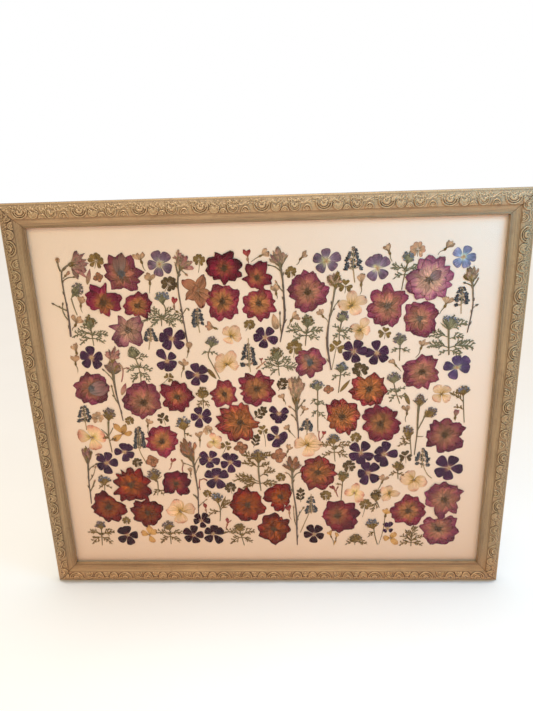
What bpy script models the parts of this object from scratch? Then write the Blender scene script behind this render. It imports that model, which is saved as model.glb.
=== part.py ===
"""Pressed flower frame: roses and tall wild flowers pressed flat behind glass in a gilt picture frame.

Metres, +Z up. The frame stands on its bottom edge with its front towards -Y, and the origin is under the
middle of that edge. Places on the board are millimetres from the middle of the opening: x right, z up.
"""

import math

import bmesh
import bpy
from mathutils import Vector

MM = 0.001
GAP = 0.3 * MM  # room between pieces that touch

# Driving dimensions
SIGHT_WIDTH = 596.9 * MM  # the opening in front of 24 x 20 inch glass
SIGHT_HEIGHT = 495.3 * MM
LIP_OVERLAP = 6.35 * MM  # how far the frame's lip covers the edge of the glass
GLASS_THICKNESS = 2.0 * MM
PRESSED_ROOM = 2.0 * MM  # between the glass and the mount board, where the flowers lie
MOUNT_BOARD_THICKNESS = 1.6 * MM
BACKING_THICKNESS = 2.4 * MM
DUST_COVER_THICKNESS = 0.4 * MM
DUST_COVER_INSET = 3.0 * MM
HANGER_THICKNESS = 1.2 * MM
HANGER_LENGTH = 45.0 * MM
HANGER_HEIGHT = 9.5 * MM
HANGER_RAIL_SHARE = 0.6  # how far out on the top rail the hanger sits
HANGER_TEETH = 11
TOOTHED_SHARE = 0.6  # of the hanger's length
TOOTH_DEPTH = 1.5 * MM
NAIL_HOLE_RADIUS = 0.9 * MM
NAIL_HOLE_SIDES = 10
PRESSED_THICKNESS = 0.5 * MM  # of one dried flower

# Rail section in millimetres: outwards from the edge of the opening, and forwards from the lip's front.
RAIL_SECTION = (
    (0.0, -4.0),
    (0.0, 0.0),
    (0.6, 0.6),
    (2.4, 0.6),
    (2.6, 0.2),
    (8.0, 1.6),
    (11.0, 3.4),
    (12.2, 5.6),
    (15.0, 7.0),
    (18.0, 6.9),
    (22.0, 5.0),
    (26.0, 2.4),
    (28.0, 0.4),
    (30.2, -0.8),
    (31.0, -2.0),
    (31.0, -13.0),
    (7.4, -13.0),
    (7.4, -4.0),
)
RAIL_WIDTH = max(out for out, _ in RAIL_SECTION) * MM
RAIL_CREST = max(forward for _, forward in RAIL_SECTION) * MM
RAIL_BACK = -min(forward for _, forward in RAIL_SECTION) * MM
RAIL_REBATE = -RAIL_SECTION[0][1] * MM

# Depths of the layers behind the lip's front.
GLASS_FRONT = RAIL_REBATE + GAP
BOARD_FRONT = GLASS_FRONT + GLASS_THICKNESS + PRESSED_ROOM
BACKING_FRONT = BOARD_FRONT + MOUNT_BOARD_THICKNESS + GAP
DUST_COVER_FRONT = RAIL_BACK + GAP
HANGER_FRONT = DUST_COVER_FRONT + DUST_COVER_THICKNESS + GAP
DEEPEST = HANGER_FRONT + HANGER_THICKNESS

# The middle of the opening, at the lip's front.
SIGHT_MIDDLE = Vector((0.0, (RAIL_CREST - DEEPEST) / 2, SIGHT_HEIGHT / 2 + RAIL_WIDTH))

RAIL_SPARE = 10.0 * MM  # cut off beyond each mitre
ROSE_TIP_ROUNDING = 0.22  # of each edge beside a petal's tip
TWIG_FOOT = 0.6  # half the length of a twig's foot, in widths of the twig

# Roses: the layer each lies on, and its outline from petal to petal. A rose on layer 2 overlaps its neighbours.
ROSES = (
    (1, ((-181, 215), (-177, 208), (-171, 211), (-167, 208), (-165, 195), (-155, 190), (-155, 187),
         (-163, 181), (-160, 176), (-165, 173), (-164, 166), (-170, 162), (-183, 169), (-199, 164),
         (-200, 177), (-207, 185), (-203, 189), (-207, 200), (-200, 201), (-200, 209), (-196, 212),
         (-190, 208))),
    (2, ((-61, 212), (-53, 208), (-43, 213), (-37, 211), (-39, 203), (-35, 203), (-28, 198), (-27, 193),
         (-33, 188), (-28, 184), (-30, 178), (-38, 174), (-46, 175), (-52, 168), (-57, 177), (-66, 176),
         (-72, 181), (-75, 190), (-72, 194), (-74, 200), (-71, 205), (-63, 206))),
    (2, ((-4, 200.5), (4, 197), (4, 190), (2, 183), (9, 181), (11, 176), (10, 169), (0, 168), (-3, 163),
         (-9, 163), (-16, 163), (-22, 170), (-28, 174), (-28, 178), (-21, 181), (-25, 189), (-23, 195),
         (-19, 196), (-15, 194))),
    (2, ((-204, 178), (-206, 163), (-197, 163), (-188, 163), (-186, 155), (-190, 150), (-190, 140),
         (-196, 137.5), (-204, 141), (-204, 134), (-207, 129), (-212, 134), (-219, 142), (-227, 139.5),
         (-234, 145), (-235, 152), (-233, 157), (-235, 162), (-228, 166), (-228, 172), (-225, 175),
         (-213, 170))),
    (2, ((-164, 164), (-159, 160), (-155, 162.5), (-152, 160), (-152, 155), (-147, 148), (-150, 144),
         (-151, 134), (-154, 136), (-155, 127), (-160, 129), (-164, 132), (-178, 131), (-185, 135),
         (-184, 140), (-187, 145.5), (-183, 149), (-182, 154), (-178, 158), (-169, 162))),
    (1, ((-67, 170), (-61, 171), (-54, 168), (-47, 169), (-41, 164), (-34, 163), (-31.5, 155), (-37, 141),
         (-35, 134), (-40, 128), (-47, 123), (-54, 127), (-59, 121), (-66, 124), (-72, 126), (-74, 136),
         (-72, 142), (-76, 144), (-77, 150), (-76, 162), (-70, 162))),
    (1, ((0, 165), (4, 163.5), (9, 158), (10, 150), (14, 147), (10, 143), (15, 135), (13, 132), (6, 132),
         (5, 126), (-1, 122), (-6, 119), (-10, 122), (-14, 128), (-18, 125), (-25, 125), (-27, 128),
         (-31, 137), (-27, 142), (-29, 146), (-29.5, 154), (-20, 159), (-10, 163))),
    (1, ((51.5, 187), (57, 182), (62, 185), (66, 179), (72, 170), (76, 170), (77, 166), (83, 164),
         (81, 155), (78, 151), (80, 146), (75, 141), (68, 140), (65, 136), (60, 131), (50, 130.5),
         (43, 134), (37, 139), (39, 147), (31, 152), (28, 155), (29, 161), (31, 169), (36, 175),
         (43, 182))),
    (1, ((-195, 137.5), (-184, 125), (-177, 129), (-172, 132), (-165, 131), (-164, 124), (-161.5, 121),
         (-166, 109), (-165, 99), (-164, 91), (-170, 89.5), (-184, 96), (-194.5, 86), (-200, 90),
         (-204, 98), (-208, 100.5), (-200, 112), (-211, 119), (-196, 121))),
    (2, ((205, 201), (210, 200.5), (215, 196), (221, 199), (227, 197), (226, 187), (233, 187), (233, 182),
         (239, 178), (238, 170), (233, 167), (238.5, 162), (231, 158), (230, 149), (226, 146.5), (219, 149),
         (217, 145), (207, 143), (203, 147), (198, 146), (192, 144), (189, 152), (182, 154), (178, 162),
         (181, 168), (178, 175), (184, 181), (192, 184), (193, 195), (197, 197), (201, 196))),
    (1, ((151, 166), (155, 168), (160, 167), (165, 156), (172, 157), (181, 156), (184, 150), (182, 144),
         (175, 138), (175, 132), (175, 124), (173, 116), (165, 110), (161, 110), (158, 113), (151, 110),
         (147, 113), (140, 113.5), (139, 121), (133, 122), (130, 128), (130, 135), (134, 141), (138, 142),
         (135, 146), (133, 155), (138, 158), (143, 159.5), (149, 156))),
    (1, ((204, 143), (213, 140), (219, 136), (222, 128), (223, 125), (218, 119), (221, 110), (220, 100),
         (213, 99), (211, 95), (204, 92.5), (198, 96), (191, 99), (181, 103), (181, 112), (177.5, 122),
         (181, 127), (179, 135), (182, 140), (189, 142), (199, 140))),
    (1, ((63, 85), (68, 82), (71, 76), (73, 71), (78, 67), (79, 61), (76, 56), (72, 50), (64, 49), (62, 42),
         (56, 40.5), (52, 47), (45, 43), (38, 47), (37, 54), (41, 60), (37, 66), (38, 73), (42, 79),
         (50, 81), (56, 82))),
    (1, ((204, 72), (209, 69), (219, 70), (226, 64), (222, 52), (227, 48), (229, 40), (228, 34), (217, 31),
         (215, 21), (207, 26), (202, 22), (195, 27), (187, 26), (181, 31), (180, 45), (179, 55), (180, 60),
         (187, 63), (196, 64), (200, 68))),
    (1, ((-246, 56), (-241, 51), (-232, 52.5), (-227, 52), (-222, 45), (-218, 37), (-217.5, 30), (-221, 24),
         (-222, 14), (-232, 9), (-236, 9), (-241, 6.5), (-250, 7), (-258, 10.5), (-259, 15), (-264, 17),
         (-267, 22), (-264, 30), (-268, 35), (-263, 42), (-256, 47), (-250, 53.5))),
    (1, ((-170, 42), (-163, 38), (-157, 36), (-152, 32), (-151, 25), (-147, 15), (-149, 7), (-149, 0),
         (-156, -5), (-164, -11), (-168, -10), (-176, -17), (-180, -14), (-186, -10), (-195, -4), (-201, 2),
         (-202.5, 12), (-200, 18), (-196, 22), (-195, 28), (-190, 33), (-187, 37), (-176, 38))),
    (2, ((-128, 41), (-121, 40), (-111, 36), (-110, 30), (-104, 24), (-100, 17), (-104, 12), (-109, 9),
         (-109, 2), (-117, -5), (-121, -6), (-126, -3), (-133, -4), (-141, -2), (-147, 8), (-141, 14),
         (-148, 22), (-149, 28), (-146, 35), (-142, 36.5), (-133, 33), (-131, 38))),
    (1, ((-68, 41), (-60, 38), (-54, 41), (-50, 37), (-48, 31), (-42.5, 28), (-46, 18), (-41.5, 10),
         (-46, 6), (-54, 2), (-59, 5), (-67, 0), (-73, 2), (-75, 10), (-79, 13), (-76, 16), (-82, 21),
         (-71, 29))),
    (1, ((-10.5, 56), (-6, 46), (8, 42), (9, 37), (4, 29), (11.5, 20), (5, 13), (4, 6), (-2, 7), (-8, 8),
         (-10, 3), (-18, 0.5), (-24, 4), (-31, 5), (-36, 12), (-34, 16), (-39, 20), (-34, 24), (-40, 28),
         (-36, 31), (-40, 36), (-40, 41), (-35, 45), (-29, 50.5), (-18, 45))),
    (1, ((142, 49), (148, 43), (151, 39), (156, 40), (155, 32), (162, 20), (157, 15), (155, 10), (152, 1),
         (145, 2), (138, -1), (135, 1), (128, -2), (124, 7), (115, 9), (110, 17), (109, 22), (115, 27),
         (112, 33), (115, 41), (124, 43), (130, 38))),
    (2, ((-38, 8), (-33, 4), (-27, 3), (-27, -5), (-20, -20), (-10, -23), (-16, -31), (-24, -32),
         (-22, -40), (-24, -48), (-28, -51), (-34, -50), (-40, -46), (-46, -52), (-53, -53.5), (-60, -44),
         (-68, -36), (-74, -32), (-77, -28), (-68, -22), (-74, -13), (-66, -11), (-68, -2), (-63, 0),
         (-56, -2), (-52, 4), (-42, 3))),
    (1, ((99, 11), (104, 9), (108, 4), (120, 4), (121, -5), (125, -12), (125, -17), (121, -22), (121, -32),
         (118, -37), (113, -38), (112, -43), (109, -45), (105, -39), (98, -42), (93, -40), (90, -34),
         (84, -34), (79, -20), (81, -12), (77, 3), (84, 2), (86, 8), (91, 10))),
    (2, ((140, -1), (146, 2), (152, 0), (160, -2), (167, -6), (169, -9), (174, -8), (176, -13), (172, -19),
         (182, -26), (178, -30), (180, -35), (177, -41), (171, -44), (170, -50), (164, -53), (158, -51),
         (150, -54), (139, -54), (136, -40), (126, -32), (134, -23), (127, -19), (127, -9), (132, -6))),
    (1, ((-153, -26), (-147, -28), (-138.5, -27), (-139, -33), (-130, -38), (-128, -51), (-134, -63),
         (-140, -66), (-142, -71), (-152, -78), (-159, -71), (-161, -65), (-168, -65), (-177, -59),
         (-172, -50), (-177, -45), (-170, -43), (-172, -38), (-164, -28), (-158, -29))),
    (1, ((246, -20), (251, -27), (262, -27), (270, -36), (265, -41), (264, -46), (258, -46), (264, -51),
         (270, -57), (268, -61), (263, -67), (252, -70), (248, -72), (243, -70), (240, -73), (232, -72),
         (230, -61), (220, -64), (216, -60), (216, -38), (221, -38), (219, -28), (222, -24), (227, -22),
         (233, -26), (239, -20))),
    (1, ((68.5, -74), (72, -77), (80, -80), (86, -85), (91, -89), (92, -97), (95, -104), (92, -110),
         (88, -118), (82, -122), (78, -128), (72, -130.5), (64, -125), (54, -131), (52, -125), (50, -119),
         (45, -114), (41, -103), (42, -96), (46, -88), (48, -83), (54, -79), (62, -79))),
    (2, ((-198, -91), (-196, -97), (-190, -91), (-185.5, -92), (-184, -103), (-172, -112), (-180, -120),
         (-173, -127), (-175, -134), (-180, -137), (-178, -145), (-190, -144), (-199, -142), (-207, -145),
         (-222, -146), (-221, -134), (-236, -136), (-221, -122), (-231, -113), (-221, -107), (-225, -99),
         (-215, -101), (-216, -93), (-209, -99), (-207, -91))),
    (1, ((-149, -99), (-142, -99), (-134, -96), (-126, -98), (-120, -101), (-118, -106), (-115, -113),
         (-117, -119), (-121, -123), (-117, -131), (-123, -136), (-132, -138), (-137, -133), (-139, -127),
         (-141, -133), (-148, -134.5), (-155, -134), (-157, -125), (-158, -118), (-155, -103))),
    (1, ((10, -119), (15, -120), (20, -118), (26, -119.5), (29, -126), (29, -135), (27, -148), (22, -156),
         (18, -153), (19, -160), (16, -166), (13, -163), (8, -165), (1, -161), (-2, -155), (0, -149),
         (-8, -149), (-13, -143), (-12, -136), (-9, -131), (-5, -126), (1, -124), (6, -119))),
    (1, ((-35, -122), (-30, -131), (-23, -131), (-17, -133), (-15, -140), (-15, -149), (-6, -160),
         (-12, -168), (-20, -170), (-23, -180), (-31, -178), (-34, -181), (-47, -179), (-50, -174),
         (-58, -167), (-60, -160), (-62, -152), (-57, -144), (-56, -136), (-50, -131), (-47, -124),
         (-40, -128))),
    (1, ((-245, -127), (-241, -130), (-236, -136), (-226, -145), (-219, -149), (-212, -156), (-215, -167),
         (-223, -170), (-223, -176), (-230, -181), (-238, -177), (-243, -182), (-250, -177), (-254, -172),
         (-264, -165), (-263, -160), (-267, -155), (-260, -147), (-261, -140), (-255, -131))),
    (1, ((-198, -144), (-191, -147), (-180, -141), (-178, -147), (-172, -145), (-163, -150), (-159, -157),
         (-161, -166), (-164, -174), (-168, -182), (-177, -188), (-181, -186), (-187, -190), (-192, -187),
         (-198, -182), (-207, -175), (-203, -170), (-210, -160), (-204, -150))),
    (1, ((102, -146), (106, -152), (118, -150), (121, -154), (120, -160), (126, -163), (128, -170),
         (122, -176), (125, -183), (120, -193), (113, -196), (105, -196), (100, -200), (94, -201),
         (88, -198), (84, -190), (79, -188), (77, -180), (71, -171), (79, -158), (80, -147), (90, -149))),
    (1, ((3, -166), (9, -168), (11, -174), (14, -173), (16, -178), (22, -176), (26, -181), (23, -187),
         (28, -196), (21, -205), (17, -213), (9, -217), (4, -222), (-2, -219), (-6, -213), (-15, -210),
         (-21, -205), (-22, -195), (-22, -188), (-15, -184), (-15, -175), (-11, -171), (-4, -170))),
    (1, ((193, -137), (203, -142), (210, -141), (212, -149), (218, -154), (223, -162), (221, -171),
         (216, -176), (213, -185), (207, -189), (201, -192), (191, -183.5), (179, -185), (177, -178),
         (173, -176), (173, -170), (170, -165), (171, -158), (178, -151), (185, -148), (189, -141))),
    (2, ((246, -117), (252, -122), (266, -125), (271, -131), (274, -134), (262, -148), (267, -158),
         (268, -166), (263, -170), (254, -165), (249, -171), (250, -177), (238, -178), (233, -167),
         (237, -158), (221, -158), (220, -150), (221, -143), (217, -135), (223, -131), (228, -124),
         (233, -120), (240, -119))),
    (1, ((226, -173), (234, -179), (250, -176), (258, -172), (262, -176), (268, -177), (265, -190),
         (272, -199), (268, -206), (265, -214), (259, -220), (250, -222), (240, -220), (232, -222),
         (227, -218), (225, -213), (219, -207), (221, -201), (213, -191), (215, -188), (220, -186),
         (218, -182))),
)

# Tall flowers: a stem from its cut end to the top of its head, as (x, z, width), and the twigs that leave it.
# A twig leaves at one of the stem's points, to the right (1) or the left (-1) of someone climbing it.
TALL_FLOWERS = {
    "paintbrush_01": (
        ((-261.5, 105, 2.6), (-261, 120, 2.6), (-260.5, 126, 2.2), (-260.5, 140, 1.8), (-261, 150, 1.8),
         (-262.5, 165, 1.8), (-263, 178, 1.8), (-263, 190, 2.2), (-258, 196, 3), (-252, 200, 5),
         (-246, 201, 12), (-241, 198, 26), (-235, 198, 28), (-230, 197, 20), (-228, 197, 8)),
        ((2, -1, ((-265.5, 133, 1.6), (-268, 140.5, 1.2))),
         (3, -1, ((-270, 144.5, 1.6), (-279, 150, 1))),
         (6, 1, ((-256, 184, 1.6), (-247, 184, 1.2))),
         (7, -1, ((-265, 200, 4), (-265, 208, 3)))),
    ),
    "paintbrush_02": (
        ((-105.5, 95, 1.8), (-107, 110, 2.2), (-108.5, 125, 2.2), (-109.5, 131, 2), (-111.5, 155, 1.8),
         (-112.5, 172, 1.8), (-110.5, 185, 3), (-107, 191, 8), (-103, 195, 15), (-101, 200, 17),
         (-99, 205, 13), (-98, 208, 5)),
        ((3, 1, ((-105, 138, 1.4), (-101, 141, 1.2))),
         (6, -1, ((-113, 197, 1.4), (-115.5, 206, 1.2))),
         (9, -1, ((-109.5, 207, 4), (-107, 213, 2)))),
    ),
    "paintbrush_03": (
        ((18, 92, 1.4), (19.5, 104, 2.6), (22, 112, 2.6), (25, 124, 3.2), (24, 142, 3), (24, 154, 2.6),
         (23.5, 170, 2), (22, 183, 2.4), (20.5, 192, 5), (18.5, 197, 10), (17.5, 201, 17), (18, 207, 14),
         (17, 211, 3)),
        ((1, -1, ((18.2, 113, 1.6), (18.6, 131, 1.2))),
         (5, -1, ((19, 164, 1.4), (14.5, 172, 1.2))),
         (7, -1, ((14, 191.5, 1.6), (5, 193.5, 1.2))),
         (8, 1, ((25.5, 198, 2.4), (29, 203.5, 1.4)))),
    ),
    "paintbrush_04": (
        ((85, 52, 1.6), (83, 65, 2.2), (81, 76, 3.4), (79.5, 88, 4), (80, 97, 2.4), (80.5, 110, 1.8),
         (83, 124, 2), (85, 135, 3), (88, 150, 2), (89.5, 161, 3), (90, 168, 7), (89.5, 174, 19),
         (89, 179, 14), (88, 181, 6)),
        ((6, 1, ((88.5, 138, 1.4), (94, 145, 1.2))),
         (9, 1, ((95, 166, 1.6), (97.5, 169.5, 1.2)))),
    ),
    "paintbrush_05": (
        ((260.5, 100, 1.4), (262, 106, 1.6), (263, 115, 1.8), (265, 131, 1.6), (265, 142, 1.4),
         (263.5, 152, 1.6), (263, 160, 2.4), (262, 166, 5), (260, 171, 12), (259, 176, 16), (258, 182, 5)),
        ((3, 1, ((268, 135, 1), (270, 136, 0.8))),
         (6, 1, ((267, 165, 3), (269, 170, 1.4))),
         (6, -1, ((257, 163.5, 2), (252, 165, 1.4)))),
    ),
    "paintbrush_06": (
        ((-204, -18, 1.4), (-205.5, -6, 2.2), (-206.5, 4, 2.2), (-208.5, 15, 2), (-209.5, 28, 2.2),
         (-210.5, 40, 4.2), (-211, 50, 5), (-210, 58, 12), (-209.5, 64, 19), (-209, 70, 10),
         (-207.5, 77, 18), (-207, 82, 12), (-206.5, 85, 4)),
        ((2, -1, ((-212, 15, 2), (-214.5, 34, 1.4))),
         (5, -1, ((-216, 50, 2), (-223, 57.5, 1.4)))),
    ),
    "paintbrush_07": (
        ((40, -48, 1.4), (40, -35, 2), (39, -22, 3), (37.5, -8, 3), (37.5, 1, 5), (39, 10, 9),
         (39.5, 18, 14), (39, 26, 20), (38, 33, 24), (38, 38, 18), (38, 40, 8)),
        ((2, -1, ((35, -16, 1.8), (32, -13, 1.2))),
         (3, -1, ((33, -3, 1.8), (29, -0.5, 1.2))),
         (3, 1, ((43, 1, 2.2), (49, 8.5, 1.2)))),
    ),
    "paintbrush_08": (
        ((-265.5, -149, 1.6), (-265, -132, 2), (-265, -113, 1.6), (-264.5, -98, 1.8), (-262.5, -86, 3),
         (-261.5, -80, 10), (-260.5, -72, 13), (-260.5, -65, 13), (-261, -61, 6)),
        ((1, 1, ((-260.5, -122, 2), (-256, -112, 3))),
         (2, 1, ((-257, -104, 1.4), (-252, -89, 1))),
         (3, 1, ((-259, -89.5, 1.4), (-250, -84.5, 1.2))),
         (5, -1, ((-269.5, -75.5, 3), (-271, -71.5, 2))),
         (6, 1, ((-250, -69.5, 2.4), (-244, -69.5, 1.2)))),
    ),
    "paintbrush_09": (
        ((-108, -168, 1.6), (-107.5, -154, 2), (-107, -144, 2.2), (-106, -130, 2), (-107, -118, 2),
         (-108.5, -103, 2.4), (-108.5, -90, 2.6), (-109.5, -83, 4), (-112, -76, 12), (-116, -69, 20),
         (-119, -61, 23), (-121, -54, 14), (-122, -50, 4)),
        ((1, 1, ((-101, -149, 1.4), (-94.5, -143.5, 1.2))),
         (2, -1, ((-110.5, -139, 2.4), (-112.5, -136.5, 1.4))),
         (5, 1, ((-105, -95, 1.4), (-103, -90, 1.2))),
         (6, -1, ((-116, -87.5, 1.4), (-123, -85, 1))),
         (6, 1, ((-104, -79, 1.6), (-100.5, -75, 1.4)))),
    ),
    "paintbrush_10": (
        ((36, -221, 1.6), (35, -205, 2.2), (35.5, -191, 2.4), (36, -176, 2.8), (35, -158, 2.4),
         (32.5, -138, 2), (30.5, -125, 1.8), (30.5, -108, 2), (31, -98, 5), (30, -90, 19), (30.5, -83, 22),
         (31, -78, 6)),
        ((2, -1, ((32, -179, 1.4), (31.5, -157, 1.2))),
         (3, 1, ((40, -168, 1.8), (46, -158, 1))),
         (7, -1, ((26, -103, 2), (22, -101.5, 1.2))),
         (7, 1, ((36, -103, 2.4), (41, -101, 1.4)))),
    ),
    "thistle_01": (
        ((-225, -66, 1.4), (-226, -55, 1.6), (-227.5, -42, 1.8), (-226.5, -32, 2), (-225.5, -22, 3),
         (-223.5, -16, 10), (-221, -10, 17), (-219.5, -5, 18), (-220.5, 0.5, 8)),
        ((2, -1, ((-232, -35, 1.6), (-237, -30, 1.2))),
         (2, 1, ((-222.5, -34, 1.6), (-219.5, -28, 1.4)))),
    ),
    "thistle_02": (
        ((201, -75, 1.4), (201.5, -60, 1.8), (203, -47, 2), (203.5, -39, 2), (203, -25, 1.8),
         (202.5, -12, 2), (203.5, -3, 3.4), (204.5, 3, 6), (205, 9, 11), (205.5, 15, 3)),
        ((2, 1, ((208, -47.5, 1), (212, -47, 1))),
         (3, 1, ((207.5, -29, 1.4), (213, -16, 2.4), (218, -11, 10), (222, -8, 16), (226, -6, 12),
                 (228.5, -5, 4))),
         (6, -1, ((199, 4, 2.4), (195, 7, 1.4))),
         (6, 1, ((210.5, 3, 2.2), (215, 8.5, 1.4)))),
    ),
    "verbena_01": (
        ((239, 70, 2), (238.5, 78, 4), (237.5, 88, 3.4), (237, 96, 2), (236.5, 103, 4), (237, 112, 14),
         (238, 118, 22), (239, 123, 16), (240, 125.5, 8)),
        ((1, -1, ((228, 84.5, 4), (212, 82, 1.6))),
         (1, 1, ((249, 83, 5), (269, 80, 1.6))),
         (2, -1, ((226, 94, 4), (213, 96, 1.6))),
         (2, 1, ((246, 92, 4), (255, 92.5, 1.6))),
         (4, 1, ((248, 105.5, 3), (258.5, 109.5, 1.2)))),
    ),
    "verbena_02": (
        ((-15, -130, 1.6), (-16.5, -115, 2.6), (-17, -108, 2.6), (-17.5, -97, 2.8), (-17, -90, 3.4),
         (-17, -83, 10), (-17, -76, 21), (-17, -69, 18), (-16, -63, 4)),
        ((1, -1, ((-30, -112.5, 3), (-50, -112, 1.4))),
         (2, 1, ((-7, -104, 4), (6, -99, 1.4))),
         (3, -1, ((-27, -88, 3.4), (-38, -86, 1.4))),
         (3, 1, ((-8, -89, 3), (-2, -87.5, 1.2))),
         (5, -1, ((-28, -78, 2.6), (-37, -72, 1.4))),
         (5, 1, ((-7, -79, 2.6), (0, -73.5, 1.2)))),
    ),
}


def remove_everything():
    for thing in list(bpy.data.objects):
        bpy.data.objects.remove(thing)


def new_collection(name):
    collection = bpy.data.collections.new(name)
    bpy.context.scene.collection.children.link(collection)
    return collection


def new_material(name, colour, roughness, metallic=0.0):
    material = bpy.data.materials.new(name)
    material.use_nodes = True
    shader = material.node_tree.nodes["Principled BSDF"]
    shader.inputs["Base Color"].default_value = (*colour, 1.0)
    shader.inputs["Roughness"].default_value = roughness
    shader.inputs["Metallic"].default_value = metallic
    return material


def add(name, data, material, parent, collection):
    piece = bpy.data.objects.new(name, data)
    data.materials.append(material)
    piece.parent = parent
    collection.objects.link(piece)
    return piece


def flat_outline(name, loops, thickness):
    """A plate with the given outlines, each a list of points in metres; the second and later ones are holes."""
    curve = bpy.data.curves.new(name, "CURVE")
    curve.dimensions = "2D"
    curve.fill_mode = "BOTH"
    curve.extrude = thickness / 2
    for loop in loops:
        spline = curve.splines.new("POLY")
        spline.points.add(len(loop) - 1)
        spline.use_cyclic_u = True
        for point, (across, up) in zip(spline.points, loop):
            point.co = (across, up, 0.0, 1.0)
    return curve


def stand_up(piece, front_depth, thickness):
    """Turns a plate drawn in the XY plane to face the front, with its face at this depth behind the lip."""
    piece.rotation_euler = (math.pi / 2, 0.0, 0.0)
    piece.location = (0.0, front_depth + thickness / 2, 0.0)


def rectangle(width, height):
    return [(x * width / 2, z * height / 2) for x, z in ((-1, -1), (1, -1), (1, 1), (-1, 1))]


def mitred_rail(name, sight_length):
    """A rail along X above the opening: its section drawn out, then cut at 45 degrees at both ends."""
    half_blank = sight_length / 2 + RAIL_WIDTH + RAIL_SPARE
    mesh = bmesh.new()
    section = [mesh.verts.new((-half_blank, -forward * MM, out * MM)) for out, forward in RAIL_SECTION]
    end = mesh.faces.new(section)
    drawn = bmesh.ops.extrude_face_region(mesh, geom=[end])
    moved = [item for item in drawn["geom"] if isinstance(item, bmesh.types.BMVert)]
    bmesh.ops.translate(mesh, vec=(2 * half_blank, 0.0, 0.0), verts=moved)
    for side in (-1, 1):
        corner = Vector((side * (sight_length / 2 - GAP / 2), 0.0, 0.0))
        cut = bmesh.ops.bisect_plane(
            mesh,
            geom=mesh.verts[:] + mesh.edges[:] + mesh.faces[:],
            plane_co=corner,
            plane_no=Vector((side, 0.0, -1.0)).normalized(),
            clear_outer=True,
        )
        rim = [item for item in cut["geom_cut"] if isinstance(item, bmesh.types.BMEdge)]
        bmesh.ops.contextual_create(mesh, geom=rim)
    bmesh.ops.recalc_face_normals(mesh, faces=mesh.faces[:])
    data = bpy.data.meshes.new(name)
    mesh.to_mesh(data)
    mesh.free()
    return data


def make_rails(parent, collection):
    gilt = new_material("aged_gilt_wood", (0.43, 0.29, 0.15), 0.42, 0.35)
    places = (
        ("frame_top", SIGHT_WIDTH, SIGHT_HEIGHT / 2, 0.0),
        ("frame_right", SIGHT_HEIGHT, SIGHT_WIDTH / 2, math.pi / 2),
        ("frame_bottom", SIGHT_WIDTH, SIGHT_HEIGHT / 2, math.pi),
        ("frame_left", SIGHT_HEIGHT, SIGHT_WIDTH / 2, math.pi * 3 / 2),
    )
    for name, length, reach, turn in places:
        rail = add(name, mitred_rail(name, length), gilt, parent, collection)
        rail.rotation_euler = (0.0, turn, 0.0)
        rail.location = (reach * math.sin(turn), 0.0, reach * math.cos(turn))


def make_glass_and_boards(parent, collection):
    inner = (SIGHT_WIDTH + 2 * LIP_OVERLAP, SIGHT_HEIGHT + 2 * LIP_OVERLAP)
    whole = [side + 2 * (RAIL_WIDTH - DUST_COVER_INSET) for side in (SIGHT_WIDTH, SIGHT_HEIGHT)]
    glass = new_material("picture_glass", (0.92, 0.95, 0.93), 0.05)
    glass.node_tree.nodes["Principled BSDF"].inputs["Transmission Weight"].default_value = 1.0
    paper = new_material("cream_paper", (0.80, 0.60, 0.43), 0.85)
    card = new_material("grey_card", (0.36, 0.31, 0.25), 0.9)
    kraft = new_material("kraft_paper", (0.38, 0.24, 0.13), 0.85)
    plates = (
        ("glass", inner, GLASS_FRONT, GLASS_THICKNESS, glass),
        ("mount_board", inner, BOARD_FRONT, MOUNT_BOARD_THICKNESS, paper),
        ("backing_board", inner, BACKING_FRONT, BACKING_THICKNESS, card),
        ("dust_cover", whole, DUST_COVER_FRONT, DUST_COVER_THICKNESS, kraft),
    )
    for name, (width, height), depth, thickness, material in plates:
        data = flat_outline(name, [rectangle(width, height)], thickness)
        stand_up(add(name, data, material, parent, collection), depth, thickness)


def hanger_outline():
    """A flat strip with a row of teeth along its lower edge."""
    half = HANGER_LENGTH / 2
    pitch = HANGER_LENGTH * TOOTHED_SHARE / HANGER_TEETH
    low = -HANGER_HEIGHT / 2
    points = [(-half, -low), (-half, low)]
    for tooth in range(HANGER_TEETH):
        left = (tooth - HANGER_TEETH / 2) * pitch
        points += [(left, low), (left + pitch / 2, low + TOOTH_DEPTH)]
    points += [(HANGER_TEETH / 2 * pitch, low), (half, low), (half, -low)]
    return points


def nail_hole(centre):
    turn = 2 * math.pi / NAIL_HOLE_SIDES
    return [
        (centre + NAIL_HOLE_RADIUS * math.cos(turn * step), NAIL_HOLE_RADIUS * math.sin(turn * step))
        for step in range(NAIL_HOLE_SIDES)
    ]


def make_hanger(parent, collection):
    brass = new_material("dull_brass", (0.45, 0.34, 0.16), 0.4, 0.9)
    hole_place = HANGER_LENGTH / 2 - HANGER_HEIGHT / 2
    loops = [hanger_outline(), nail_hole(-hole_place), nail_hole(hole_place)]
    hanger = add("sawtooth_hanger", flat_outline("sawtooth_hanger", loops, HANGER_THICKNESS), brass, parent,
                 collection)
    stand_up(hanger, HANGER_FRONT, HANGER_THICKNESS)
    hanger.location.z = SIGHT_HEIGHT / 2 + RAIL_WIDTH * HANGER_RAIL_SHARE


def lay_flower(name, outline, layer, material, parent, collection):
    """A dried flower on the board; a second layer lies on the first."""
    data = flat_outline(name, [[(x * MM, z * MM) for x, z in outline]], PRESSED_THICKNESS)
    front = BOARD_FRONT - layer * (GAP + PRESSED_THICKNESS)
    stand_up(add(name, data, material, parent, collection), front, PRESSED_THICKNESS)


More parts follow.
